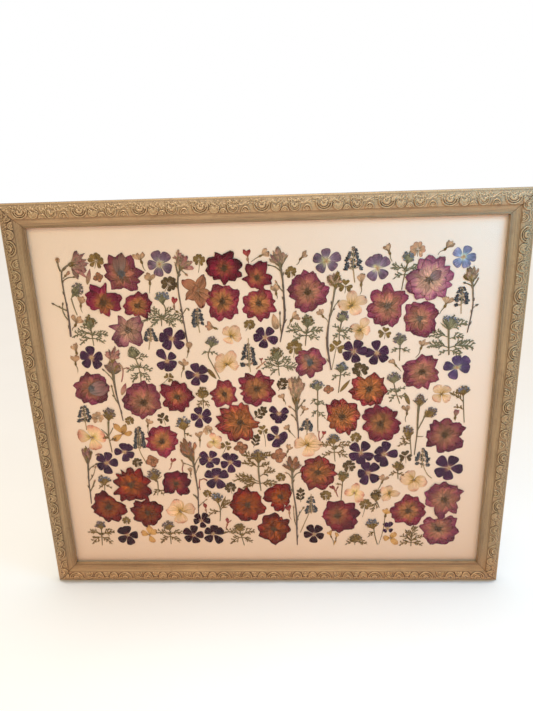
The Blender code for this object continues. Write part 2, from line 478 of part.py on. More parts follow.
def round_tips(outline):
    """Cuts each tip that points outwards into two corners, and keeps the clefts between petals sharp."""
    points = [Vector(point) for point in outline]
    rounded = []
    for index, point in enumerate(points):
        before = points[index - 1]
        after = points[(index + 1) % len(points)]
        turn = (point - before).cross(after - point)
        if turn < 0:
            rounded.append(point.lerp(before, ROSE_TIP_ROUNDING))
            rounded.append(point.lerp(after, ROSE_TIP_ROUNDING))
        else:
            rounded.append(point)
    return rounded


def make_roses(parent, collection):
    crimson = new_material("dried_rose_petal", (0.22, 0.035, 0.055), 0.6)
    for number, (layer, outline) in enumerate(ROSES, start=1):
        lay_flower(f"rose_{number:02d}", round_tips(outline), layer, crimson, parent, collection)


def walk_round(spine, twigs=()):
    """The outline of a stem, out along its right side and back along its left, and round each twig on the way."""
    sides = {1: [], -1: []}
    for index, (x, z, width) in enumerate(spine):
        behind = Vector(spine[max(index - 1, 0)][:2])
        ahead = Vector(spine[min(index + 1, len(spine) - 1)][:2])
        along = (ahead - behind).normalized()
        right = Vector((along.y, -along.x))
        for side, trail in sides.items():
            edge = Vector((x, z)) + side * right * width / 2
            leaving = [twig for at, twig_side, twig in twigs if (at, twig_side) == (index, side)]
            if not leaving:
                trail.append(edge)
                continue
            foot = along * leaving[0][0][2] * TWIG_FOOT
            round_twig = walk_round(leaving[0])
            trail.append(edge - foot)
            trail.extend(round_twig if side == 1 else reversed(round_twig))
            trail.append(edge + foot)
    return sides[1] + sides[-1][::-1]


def make_tall_flowers(parent, collection):
    faded = new_material("dried_stem_and_bract", (0.20, 0.13, 0.075), 0.75)
    for name, (spine, twigs) in TALL_FLOWERS.items():
        lay_flower(name, walk_round(spine, twigs), 2, faded, parent, collection)


def main():
    remove_everything()
    collection = new_collection("pressed_flower_frame")
    middle = bpy.data.objects.new("sight_middle", None)
    middle.location = SIGHT_MIDDLE
    collection.objects.link(middle)
    make_rails(middle, collection)
    make_glass_and_boards(middle, collection)
    make_hanger(middle, collection)
    make_roses(middle, collection)
    make_tall_flowers(middle, collection)


main()
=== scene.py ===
"""Looks of the pressed flower frame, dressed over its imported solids.

Specimens are laid out in board millimetres: x right and z up from the middle of the opening. A lift is the distance
in front of the paper, also in millimetres. Everything else is in metres, in the frame of the solids.
"""

import math
import random

import bpy
import numpy as np
from mathutils import Matrix, Vector, noise
from mathutils.geometry import delaunay_2d_cdt


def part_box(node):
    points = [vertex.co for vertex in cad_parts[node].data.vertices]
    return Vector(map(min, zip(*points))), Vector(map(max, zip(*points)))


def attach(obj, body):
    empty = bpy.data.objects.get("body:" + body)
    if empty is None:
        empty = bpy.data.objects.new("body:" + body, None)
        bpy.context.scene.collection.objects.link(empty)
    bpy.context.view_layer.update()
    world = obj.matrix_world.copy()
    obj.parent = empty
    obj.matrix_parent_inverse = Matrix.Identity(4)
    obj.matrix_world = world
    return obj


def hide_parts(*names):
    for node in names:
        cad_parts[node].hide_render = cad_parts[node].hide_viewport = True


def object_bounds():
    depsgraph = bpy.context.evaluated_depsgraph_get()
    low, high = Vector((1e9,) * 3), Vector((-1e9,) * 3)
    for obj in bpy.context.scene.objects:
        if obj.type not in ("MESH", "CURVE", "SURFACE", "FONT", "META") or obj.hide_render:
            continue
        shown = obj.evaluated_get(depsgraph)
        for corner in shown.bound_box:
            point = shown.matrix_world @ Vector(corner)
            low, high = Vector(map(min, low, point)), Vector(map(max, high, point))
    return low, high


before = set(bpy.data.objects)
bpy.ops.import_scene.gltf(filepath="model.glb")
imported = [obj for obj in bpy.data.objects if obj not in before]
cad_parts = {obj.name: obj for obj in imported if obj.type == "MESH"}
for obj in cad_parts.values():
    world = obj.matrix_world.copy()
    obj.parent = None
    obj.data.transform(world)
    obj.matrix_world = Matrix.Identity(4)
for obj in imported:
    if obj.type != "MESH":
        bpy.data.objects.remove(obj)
cad_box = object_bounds()

MM = 0.001
LOW, HIGH = cad_box
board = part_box("mount_board")
MIDDLE = (board[0] + board[1]) / 2
PAPER = board[0].y
GLASS_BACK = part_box("glass")[1].y

# Colours are linear.
CREST_GOLD = (0.50, 0.345, 0.185)
WORN_GOLD = (0.40, 0.265, 0.135)
THIN_GOLD = (0.17, 0.10, 0.05)
RUBBED_BROWN = (0.22, 0.12, 0.06)
RECESS_BROWN = (0.085, 0.045, 0.020)
EDGE_BROWN = (0.070, 0.020, 0.010)
PAPER_CREAM = (0.83, 0.64, 0.48)
PAPER_SPECK = (0.35, 0.20, 0.11)
# These three multiply the colour under them.
PAINTED_PAPER_SHADE = (0.93, 0.86, 0.80)
PAINTED_WARM_LIGHT = (1.22, 1.06, 0.95)
PAINTED_PALE_LIGHT = (1.14, 1.09, 1.10)


# ---------------------------------------------------------------- materials


class Nodes:
    """Short hand for a material's node tree."""

    def __init__(self, name):
        self.material = bpy.data.materials.new(name)
        self.material.use_nodes = True
        self.tree = self.material.node_tree
        self.shader = self.tree.nodes["Principled BSDF"]

    def add(self, kind, inputs=None, **settings):
        node = self.tree.nodes.new("ShaderNode" + kind)
        for key, value in settings.items():
            setattr(node, key, value)
        for key, value in (inputs or {}).items():
            self.feed(node.inputs[key], value)
        return node

    def feed(self, socket, value):
        if isinstance(value, bpy.types.Node):
            value = value.outputs[0]
        if isinstance(value, bpy.types.NodeSocket):
            self.tree.links.new(value, socket)
        else:
            socket.default_value = value

    def maths(self, operation, *values):
        return self.add("Math", dict(enumerate(values)), operation=operation)

    def times(self, first, second):
        return self.maths("MULTIPLY", first, second)

    def sway(self, value, amount, start):
        """The start, raised or lowered by how far the value is from a half."""
        return self.maths("MULTIPLY_ADD", self.maths("SUBTRACT", value, 0.5), amount, start)

    def spread(self, value, low, high, to_low=0.0, to_high=1.0):
        """The value moved from one range to another, held at the ends."""
        return self.add("MapRange", {0: value, 1: low, 2: high, 3: to_low, 4: to_high})

    def place(self):
        return self.add("TexCoord").outputs["Object"]

    def height(self):
        return self.add("SeparateXYZ", {0: self.place()}).outputs["Z"]

    def stretched(self, up):
        return self.add("Mapping", {"Vector": self.place(), "Scale": (1.0, 1.0, up)})

    def parts(self, name):
        """The three numbers of a vector that the mesh carries."""
        return self.add("SeparateXYZ", {0: self.add("Attribute", attribute_name=name).outputs["Vector"]}).outputs

    def noise(self, scale, detail=3.0, roughness=0.55, where=None):
        where = where or self.place()
        return self.add("TexNoise", {"Vector": where, "Scale": scale, "Detail": detail, "Roughness": roughness})

    def ramp(self, value, *stops):
        """A colour for the value, between stops of a place and its red, green and blue."""
        node = self.add("ValToRGB", {0: value})
        elements = node.color_ramp.elements
        while len(elements) < len(stops):
            elements.new(0.5)
        for element, (at, *colour) in zip(elements, stops):
            element.position = at
            element.color = (*colour, 1.0)
        return node

    def blend(self, share, first, second, kind="MIX"):
        node = self.add("Mix", data_type="RGBA", blend_type=kind, clamp_result=False)
        self.feed(node.inputs["Factor"], share)
        for key, value in (("A", first), ("B", second)):
            socket = [s for s in node.inputs if s.name == key and s.type == "RGBA"][0]
            self.feed(socket, (*value, 1.0) if isinstance(value, tuple) else value)
        return [s for s in node.outputs if s.type == "RGBA"][0]

    def shade(self, colour, amount):
        """The colour made lighter or darker by a number."""
        grey = self.add("CombineColor", {0: amount, 1: amount, 2: amount})
        return self.blend(1.0, colour, grey, "MULTIPLY")

    def finish(self, colour, roughness, height, distance):
        """Wires the colour, the roughness and the bumps to the shader, and gives the material."""
        bump = self.add("Bump", {"Height": height, "Distance": distance, "Strength": 1.0})
        for key, value in (("Base Color", colour), ("Roughness", roughness), ("Normal", bump)):
            self.feed(self.shader.inputs[key], value)
        return self.material


def petal_material(name, stops, veins=7.0, vein_depth=0.50, rim=0.52, rim_width=1.0):
    """Dried petal or leaf. The stops run from the flower's heart (0) to its rim (1)."""
    n = Nodes(name)
    across, along, inside = n.parts("petal")
    pick, heart, dusk = n.parts("mood")
    broad, fine = (
        n.noise(1.0, 2.0, where=n.add("CombineXYZ", {
            0: n.times(across, crowding), 1: n.times(along, 1.6), 2: n.times(pick, 40.0)}))
        for crowding in (veins / 2, veins * 1.6))
    mottle, grain = n.noise(230.0, 4.0), n.noise(1100.0, 2.0)
    for value, amount in ((mottle, 0.40), (broad, 0.75), (fine, 0.35), (pick, 0.14)):
        heart = n.sway(value, amount, heart)
    # The rim factor darkens towards each edge: partly the dried edge's own colour, partly painted shade where petals
    # overlap and along a stalk's rounded sides.
    for value, low, high, dark, light in (
            (fine, 0.35, 0.65, 1.0 - vein_depth, 1.0 + vein_depth * 0.5),
            (broad, 0.35, 0.65, 1.0 - vein_depth * 0.6, 1.0 + vein_depth * 0.5),
            (inside, 0.0, rim_width, rim, 1.0), (grain, 0.3, 0.7, 0.88, 1.10), (pick, 0.0, 1.0, 0.86, 1.14)):
        dusk = n.times(dusk, n.spread(value, low, high, dark, light))
    n.shader.inputs["Specular IOR Level"].default_value = 0.15
    return n.finish(n.shade(n.ramp(heart, *stops), dusk), n.spread(mottle, 0.3, 0.7, 0.55, 0.8),
                    n.times(n.maths("ADD", broad, mottle), 0.6), 0.0004)


def gilt_material():
    """Champagne gilding over brown, with worn brown patches, dark wash and painted shade in the hollows, painted
    highlights on the crests, and combed streaks in the cove.

    Painted warm light makes it a little warmer at the foot of the frame, and painted pale light makes it paler at its
    top."""
    n = Nodes("aged_gilt")
    relief, edge, hollow = n.parts("relief")
    length, out, _ = n.parts("rail")
    streak = n.noise(1.0, 4.0, 0.6, n.add("CombineXYZ", {0: n.times(length, 0.02), 1: n.times(out, 1.5)}))
    comb = n.maths("SINE", n.maths("MULTIPLY_ADD", streak, 3.0, n.times(out, 5.4)))
    comb = n.times(comb, n.spread(out, 10.6, 11.2, 0.28, 0.0))
    grit = n.noise(700.0)
    level = n.sway(streak, n.spread(out, 11.0, 11.6, 1.0, 0.25), n.maths("ADD", relief, comb))
    level = n.sway(grit, 0.20, n.sway(n.noise(22.0, 4.0), 0.25, level))
    # Low levels are the brown of the hollows and high ones the gold of the crests: dark wash with painted shade, and
    # painted highlights.
    colour = n.ramp(level, (0.0, *RECESS_BROWN), (0.22, *THIN_GOLD), (0.5, *WORN_GOLD), (0.9, *CREST_GOLD))
    for share, second, kind in (
            (n.times(n.spread(n.noise(90.0, 4.0), 0.60, 0.70), 0.35), RUBBED_BROWN, "MIX"),
            (n.times(hollow, 0.7), RECESS_BROWN, "MIX"),
            # Painted warm light at the foot of the frame and painted pale light at its top.
            (n.spread(n.height(), 0.06, 0.02), PAINTED_WARM_LIGHT, "MULTIPLY"),
            (n.spread(n.height(), 0.50, 0.54), PAINTED_PALE_LIGHT, "MULTIPLY"),
            (edge, EDGE_BROWN, "MIX")):
        colour = n.blend(share, colour, second, kind)
    bare = n.maths("SUBTRACT", 1.0, edge)
    n.feed(n.shader.inputs["Metallic"], n.times(n.spread(level, 0.2, 0.7, 0.1, 0.45), bare))
    return n.finish(colour, n.spread(level, 0.2, 0.9, 0.62, 0.40),
                    n.maths("ADD", n.times(streak, 0.8), n.times(grit, 0.5)), 0.0003)


def paper_material():
    """Cream-pink paper with fine fibres, faint clouds and tiny specks, and a painted warm shade that deepens towards
    the bottom.
    """
    n = Nodes("cream_pink_paper")
    fibre = n.noise(900.0, 4.0, 0.7)
    colour = n.ramp(n.noise(6.0), (0.3, *PAPER_CREAM), (0.7, *(c * 0.96 for c in PAPER_CREAM)))
    specks = n.add("TexVoronoi", {"Vector": n.place(), "Scale": 70.0}).outputs
    speck = n.times(n.spread(specks["Distance"], 0.02, 0.05, 0.45, 0.0), n.spread(specks["Color"], 0.80, 0.82))
    colour = n.blend(speck, colour, PAPER_SPECK)
    # Painted warm shade, deepening towards the bottom of the board.
    colour = n.blend(n.spread(n.height(), 0.24, 0.04), colour, PAINTED_PAPER_SHADE, "MULTIPLY")
    return n.finish(n.shade(colour, n.spread(fibre, 0.3, 0.7, 0.96, 1.03)), n.spread(fibre, 0.3, 0.7, 0.75, 0.9),
                    fibre, 0.0001)


def card_material(name, colour, dark, fibre_scale):
    n = Nodes(name)
    fibre = n.noise(fibre_scale, 5.0, 0.7, n.stretched(4.0))
    cloud = n.noise(14.0, 4.0)
    return n.finish(n.ramp(n.sway(fibre, 0.8, cloud), (0.25, *dark), (0.75, *colour)),
                    n.spread(fibre, 0.3, 0.7, 0.75, 0.92), n.maths("ADD", fibre, n.times(cloud, 2.0)), 0.0003)


def metal_material(name, colour, dark, rough):
    """Tarnished metal with fine scratches."""
    n = Nodes(name)
    tarnish = n.noise(180.0, 5.0)
    n.shader.inputs["Metallic"].default_value = 1.0
    return n.finish(n.ramp(tarnish, (0.35, *dark), (0.62, *colour)), n.spread(tarnish, 0.3, 0.7, rough + 0.25, rough),
                    n.noise(900.0, 2.0, where=n.stretched(14.0)), 0.00005)


def glass_material():
    """Clear glass with a coating, so that it reflects little."""
    n = Nodes("picture_glass")
    for key, value in (("Transmission Weight", 1.0), ("IOR", 1.45), ("Roughness", 0.0),
                       ("Specular Tint", (0.18, 0.18, 0.19, 1.0)), ("Base Color", (0.985, 0.99, 0.985, 1.0))):
        n.shader.inputs[key].default_value = value
    return n.material


# Each petal colour's stops, from the flower's heart (0) to its rim (1): a place and its red, green and blue.
PETALS = {
    "crimson": ((0.0, 0.069, 0.035, 0.02), (0.16, 0.31, 0.121, 0.04), (0.42, 0.413, 0.147, 0.045),
        (0.68, 0.309, 0.039, 0.046), (1.0, 0.158, 0.012, 0.033)),
    "mauve": ((0.0, 0.104, 0.069, 0.052), (0.16, 0.323, 0.153, 0.079), (0.45, 0.384, 0.133, 0.074),
        (0.72, 0.27, 0.058, 0.066), (1.0, 0.159, 0.023, 0.051)),
    "pale_mauve": ((0.0, 0.214, 0.176, 0.142), (0.16, 0.553, 0.298, 0.177), (0.5, 0.536, 0.256, 0.184),
        (0.75, 0.368, 0.125, 0.144), (1.0, 0.18, 0.039, 0.073)),
    "burgundy": ((0.0, 0.059, 0.025, 0.015), (0.15, 0.322, 0.111, 0.033), (0.38, 0.356, 0.085, 0.038),
        (0.6, 0.228, 0.019, 0.028), (1.0, 0.096, 0.005, 0.016)),
    "bright": ((0.0, 0.05, 0.022, 0.012), (0.14, 0.216, 0.077, 0.021), (0.38, 0.399, 0.126, 0.039),
        (0.6, 0.274, 0.021, 0.047), (1.0, 0.168, 0.01, 0.038)),
    "brown_orange": ((0.0, 0.104, 0.038, 0.014), (0.2, 0.379, 0.13, 0.032), (0.6, 0.398, 0.107, 0.027),
        (0.82, 0.318, 0.047, 0.03), (1.0, 0.18, 0.014, 0.022)),
    "phlox_dark": ((0.0, 0.56, 0.197, 0.069), (0.12, 0.29, 0.12, 0.118), (0.26, 0.068, 0.02, 0.053),
        (0.7, 0.045, 0.011, 0.037), (1.0, 0.068, 0.017, 0.045)),
    "phlox_plum": ((0.0, 0.305, 0.04, 0.024), (0.12, 0.129, 0.014, 0.021), (0.26, 0.035, 0.002, 0.008),
        (0.7, 0.024, 0.002, 0.005), (1.0, 0.04, 0.002, 0.007)),
    "phlox_violet": ((0.0, 0.902, 0.702, 0.134), (0.15, 0.671, 0.575, 0.326), (0.38, 0.223, 0.152, 0.178),
        (0.75, 0.152, 0.08, 0.118), (1.0, 0.207, 0.104, 0.125)),
    "phlox_slate": ((0.0, 0.95, 0.95, 0.345), (0.14, 0.669, 0.754, 0.519), (0.32, 0.226, 0.264, 0.345),
        (0.75, 0.181, 0.182, 0.27), (1.0, 0.274, 0.226, 0.301)),
    "cream": ((0.0, 0.228, 0.162, 0.042), (0.14, 0.545, 0.299, 0.075), (0.4, 0.721, 0.444, 0.219),
        (0.75, 0.756, 0.484, 0.286), (1.0, 0.686, 0.339, 0.202)),
    "cream_pink": ((0.0, 0.272, 0.211, 0.053), (0.14, 0.605, 0.391, 0.091), (0.4, 0.799, 0.549, 0.272),
        (0.75, 0.78, 0.443, 0.254), (1.0, 0.605, 0.232, 0.144)),
    "golden": ((0.0, 0.204, 0.117, 0.029), (0.2, 0.511, 0.244, 0.059), (0.6, 0.631, 0.344, 0.107),
        (1.0, 0.511, 0.236, 0.078)),
    "tan": ((0.0, 0.18, 0.107, 0.054), (0.4, 0.45, 0.267, 0.143), (0.8, 0.562, 0.319, 0.167),
        (1.0, 0.428, 0.213, 0.107)),
    "red": ((0.0, 0.201, 0.064, 0.036), (0.35, 0.347, 0.064, 0.043), (0.8, 0.292, 0.031, 0.033),
        (1.0, 0.183, 0.014, 0.022)),
    "pink": ((0.0, 0.363, 0.238, 0.106), (0.4, 0.435, 0.219, 0.15), (0.8, 0.344, 0.12, 0.106),
        (1.0, 0.236, 0.06, 0.062)),
    "rust": ((0.0, 0.202, 0.115, 0.061), (0.4, 0.454, 0.246, 0.122), (0.8, 0.504, 0.246, 0.132),
        (1.0, 0.34, 0.131, 0.081)),
    "dusty": ((0.0, 0.204, 0.092, 0.038), (0.4, 0.388, 0.158, 0.072), (0.8, 0.405, 0.158, 0.076),
        (1.0, 0.277, 0.085, 0.046)),
    "bract_rust": ((0.0, 0.145, 0.113, 0.045), (0.35, 0.272, 0.132, 0.054), (0.7, 0.31, 0.113, 0.054),
        (1.0, 0.194, 0.066, 0.032)),
    "bract": ((0.0, 0.154, 0.133, 0.07), (0.35, 0.25, 0.164, 0.094), (0.7, 0.289, 0.133, 0.105),
        (1.0, 0.193, 0.061, 0.07)),
    "bract_pale": ((0.0, 0.18, 0.179, 0.088), (0.35, 0.342, 0.226, 0.118), (0.75, 0.414, 0.226, 0.137),
        (1.0, 0.288, 0.122, 0.088)),
    "olive": ((0.0, 0.178, 0.101, 0.027), (0.5, 0.212, 0.122, 0.032), (1.0, 0.151, 0.089, 0.027)),
    "olive_dark": ((0.0, 0.095, 0.052, 0.017), (0.5, 0.104, 0.061, 0.022), (1.0, 0.064, 0.038, 0.015)),
    "grey_green": ((0.0, 0.148, 0.12, 0.052), (0.5, 0.193, 0.166, 0.083), (1.0, 0.136, 0.12, 0.064)),
    "slate_blue": ((0.0, 0.35, 0.216, 0.091), (0.25, 0.113, 0.108, 0.097), (0.7, 0.052, 0.052, 0.057),
        (1.0, 0.031, 0.029, 0.034)),
    "faded_blue": ((0.0, 0.21, 0.19, 0.14), (0.4, 0.2, 0.2, 0.23), (0.8, 0.16, 0.165, 0.22), (1.0, 0.12, 0.11, 0.17)),
    "grey_purple": ((0.0, 0.21, 0.17, 0.11), (0.4, 0.21, 0.155, 0.15), (0.8, 0.18, 0.125, 0.15),
        (1.0, 0.12, 0.08, 0.11)),
    "stem": ((0.0, 0.176, 0.13, 0.065), (0.5, 0.216, 0.156, 0.078), (1.0, 0.189, 0.15, 0.072)),
    "stem_purple": ((0.0, 0.115, 0.068, 0.061), (0.5, 0.149, 0.101, 0.074), (1.0, 0.176, 0.135, 0.074)),
    "stem_tan": ((0.0, 0.38, 0.26, 0.13), (0.5, 0.42, 0.28, 0.14), (1.0, 0.34, 0.23, 0.11)),
    "faded": ((0.0, 0.22, 0.153, 0.12), (0.5, 0.264, 0.135, 0.096), (1.0, 0.209, 0.081, 0.064)),
    "faded_mauve": ((0.0, 0.22, 0.17, 0.15), (0.5, 0.26, 0.14, 0.12), (1.0, 0.22, 0.08, 0.08)),
    "heart": ((0.0, 0.065, 0.033, 0.016), (0.5, 0.12, 0.055, 0.02), (1.0, 0.2, 0.09, 0.028)),
    "heart_pale": ((0.0, 0.15, 0.1, 0.075), (0.5, 0.25, 0.16, 0.11), (1.0, 0.33, 0.22, 0.15)),
    "heart_grey": ((0.0, 0.1, 0.11, 0.12), (0.5, 0.17, 0.18, 0.19), (1.0, 0.13, 0.1, 0.085)),
    "stamen": ((0.0, 0.07, 0.035, 0.018), (0.6, 0.3, 0.14, 0.035), (1.0, 0.11, 0.055, 0.02)),
    "ember": ((0.0, 0.058, 0.009, 0.002), (0.16, 0.252, 0.041, 0.003), (0.42, 0.368, 0.079, 0.007),
        (0.68, 0.25, 0.014, 0.005), (1.0, 0.116, 0.002, 0.003)),
    "brown_ember": ((0.0, 0.049, 0.011, 0.002), (0.2, 0.283, 0.057, 0.006), (0.6, 0.303, 0.055, 0.005),
        (0.82, 0.232, 0.017, 0.005), (1.0, 0.129, 0.004, 0.003)),
    "wine": ((0.0, 0.072, 0.012, 0.008), (0.15, 0.317, 0.07, 0.022), (0.38, 0.305, 0.054, 0.031),
        (0.6, 0.198, 0.007, 0.023), (1.0, 0.089, 0.002, 0.009)),
    "phlox_blue": ((0.0, 0.875, 0.67, 0.173), (0.12, 0.455, 0.407, 0.295), (0.26, 0.106, 0.068, 0.133),
        (0.7, 0.069, 0.035, 0.094), (1.0, 0.106, 0.056, 0.115)),
}
# How the veins and rims of some colours differ from those of most roses.
VEINS = (
    (("cream", "cream_pink", "golden"), {"veins": 9.0, "vein_depth": 0.18, "rim": 0.90, "rim_width": 0.8}),
    (("ember", "brown_ember", "wine", "brown_orange"), {"vein_depth": 0.75, "rim": 0.36, "rim_width": 1.2}),
    (("faded_blue", "grey_purple", "bract", "bract_pale", "bract_rust", "rust", "tan", "red", "pink"),
     {"veins": 5.0, "vein_depth": 0.30, "rim": 0.70, "rim_width": 0.5}),
    (("olive", "olive_dark", "grey_green", "stem", "stem_purple", "stem_tan"),
     {"veins": 4.0, "vein_depth": 0.30, "rim": 0.75, "rim_width": 0.4}),
)
made_materials = {}


def petal(colour):
    """The material of a petal colour, made when it is first asked for."""
    if colour not in made_materials:
        how = next((how for colours, how in VEINS if colour in colours), {})
        made_materials[colour] = petal_material("dried_" + colour, PETALS[colour], **how)
    return made_materials[colour]


# ---------------------------------------------------------------- outlines and nets


def arrays(*points):
    return [np.array(point, float) for point in points]


def unit(vector):
    return vector / max(np.linalg.norm(vector), 1e-9)


def turned(vector, angle):
    c, s = math.cos(angle), math.sin(angle)
    return np.array((vector[0] * c - vector[1] * s, vector[0] * s + vector[1] * c))


def heading(angle):
    """The unit vector at an angle from the right."""
    return turned((1.0, 0.0), angle)


def span(base, tip):
    """The base and the tip, the way from one to the other, its length, and unit vectors along it and to its right."""
    base, tip = arrays(base, tip)
    axis = tip - base
    length = np.linalg.norm(axis)
    return base, tip, axis, length, axis / length, turned(axis / length, -math.pi / 2)


def soften(points, times=1, closed=True):
    """Cuts every corner of a line, as often as asked."""
    points = np.asarray(points, float)
    for _ in range(times):
        ahead = np.roll(points, -1, axis=0)
        cut = np.stack([points * 0.75 + ahead * 0.25, points * 0.25 + ahead * 0.75], 1).reshape(-1, 2)
        points = cut if closed else np.concatenate([points[:1], cut[:-2], points[-1:]])
    return points


def evenly(points, step, closed=True):
    """The same line with its points a step apart."""
    points = np.asarray(points, float)
    if closed:
        points = np.concatenate([points, points[:1]])
    run = np.concatenate([[0.0], np.cumsum(np.linalg.norm(np.diff(points, axis=0), axis=1))])
    at = np.linspace(0.0, run[-1], max(int(run[-1] / step), 3) + 1)
    even = np.stack([np.interp(at, run, points[:, k]) for k in (0, 1)], 1)
    return even[:-1] if closed else even


def stem_line(path):
    return evenly(soften(path, 2, closed=False), 2.2, closed=False)


def stretch(loop, start, end):
    """The points of a closed line from one index to another."""
    return loop[[(start + i) % len(loop) for i in range((end - start) % len(loop) + 1)]]


def depth_inside(points, outline):
    """How far each point is from the outline's line."""
    start = outline[None]
    side = np.roll(outline, -1, axis=0)[None] - start
    share = ((points[:, None] - start) * side).sum(2) / np.maximum((side**2).sum(2), 1e-9)
    nearest = start + np.clip(share, 0.0, 1.0)[..., None] * side
    return np.linalg.norm(points[:, None] - nearest, axis=2).min(1)


def within(points, outline):
    """Whether each point is inside the outline, by counting the sides to its right."""
    start, end = outline, np.roll(outline, -1, axis=0)
    x, z = points[:, :1], points[:, 1:]
    spans = (start[:, 1] > z) != (end[:, 1] > z)
    rise = np.where(start[:, 1] == end[:, 1], 1e-9, end[:, 1] - start[:, 1])
    crossing = start[:, 0] + (z - start[:, 1]) * (end[:, 0] - start[:, 0]) / rise
    return (spans & (x < crossing)).sum(1) % 2 == 1


def net(outline, spacing):
    """Points and triangles that fill an outline."""
    low, high = outline.min(0), outline.max(0)
    rows = []
    for n, z in enumerate(np.arange(low[1] + spacing / 2, high[1], spacing * 0.87)):
        x = np.arange(low[0] + spacing / 2 * (n % 2), high[0], spacing)
        rows.append(np.stack([x, np.full(len(x), z)], 1))
    inner = np.concatenate(rows) if rows else np.empty((0, 2))
    if len(inner):
        inner = inner[within(inner, outline)]
    if len(inner):
        inner = inner[depth_inside(inner, outline) > spacing * 0.5]
    points = [Vector(p) for p in np.concatenate([outline, inner])]
    found, _, faces, *_ = delaunay_2d_cdt(points, [], [list(range(len(outline)))], 0, 1e-4, False)
    found = np.array([tuple(v) for v in found])
    faces = np.array([list(face) for face in faces])
    faces = faces[within(found[faces].mean(1), outline)]
    used, renumbered = np.unique(faces, return_inverse=True)
    return found[used], renumbered.reshape(faces.shape).tolist()


def silhouette(node):
    """The front outline of a flat CAD node, anticlockwise, in board millimetres."""
    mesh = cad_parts[node].data
    front = min(v.co.y for v in mesh.vertices) + 0.05 * MM
    place = {v.index: (round((v.co.x - MIDDLE.x) / MM, 3), round((v.co.z - MIDDLE.z) / MM, 3))
             for v in mesh.vertices if v.co.y < front}
    sides = set()
    for face in mesh.polygons:
        if all(v in place for v in face.vertices):
            spots = [place[v] for v in face.vertices]
            sides.update(zip(spots, spots[1:] + spots[:1]))
    ahead = {a: b for a, b in sides if (b, a) not in sides}
    loop = [min(ahead)]
    while ahead[loop[-1]] != loop[0]:
        loop.append(ahead[loop[-1]])
    loop = np.array(loop)
    after = np.roll(loop, -1, axis=0)
    area = (loop[:, 0] * after[:, 1] - loop[:, 1] * after[:, 0]).sum()
    return loop if area > 0 else loop[::-1]


def grid_faces(columns, step):
    """The faces between neighbouring columns of points, each as many points long as the step."""
    return [[k * step + r, (k + 1) * step + r, (k + 1) * step + r + 1, k * step + r + 1]
            for k in range(columns) for r in range(step - 1)]


def carry(mesh, **vectors):
    """Gives each point of the mesh a vector under each name."""
    for name, rows in vectors.items():
        mesh.attributes.new(name, "FLOAT_VECTOR", "POINT").data.foreach_set(
            "vector", np.concatenate(rows).astype(np.float32).ravel())


def make_piece(name, mesh, slot, *replaced):
    """Puts a mesh in the scene as a piece of the part."""
    piece = bpy.data.objects.new(name, mesh)
    bpy.context.scene.collection.objects.link(piece)
    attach(piece, "root")
    if replaced:
        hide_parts(*replaced)


# ---------------------------------------------------------------- what a dried plant is made of

# A blade's half width is t**a * (1 - t)**b, scaled to reach its width.
FORMS = {
    "petal": (1.5, 0.52), "wedge": (0.95, 0.30), "obovate": (1.15, 0.40), "round": (0.55, 0.45), "fan": (1.1, 0.22),
    "pointed": (0.55, 0.85), "lance": (0.8, 1.0), "strap": (0.25, 0.35),
}
# How much nearer its rim a rose petal's side looks than its midrib, which makes the golden middle a star.
STAR = 0.34
LEAST_LIFT = 0.04
GLASS_GAP = 0.08
NET_STEP, SHEET_WAVE, SHEET_RISE = 1.7, 0.16, 0.12


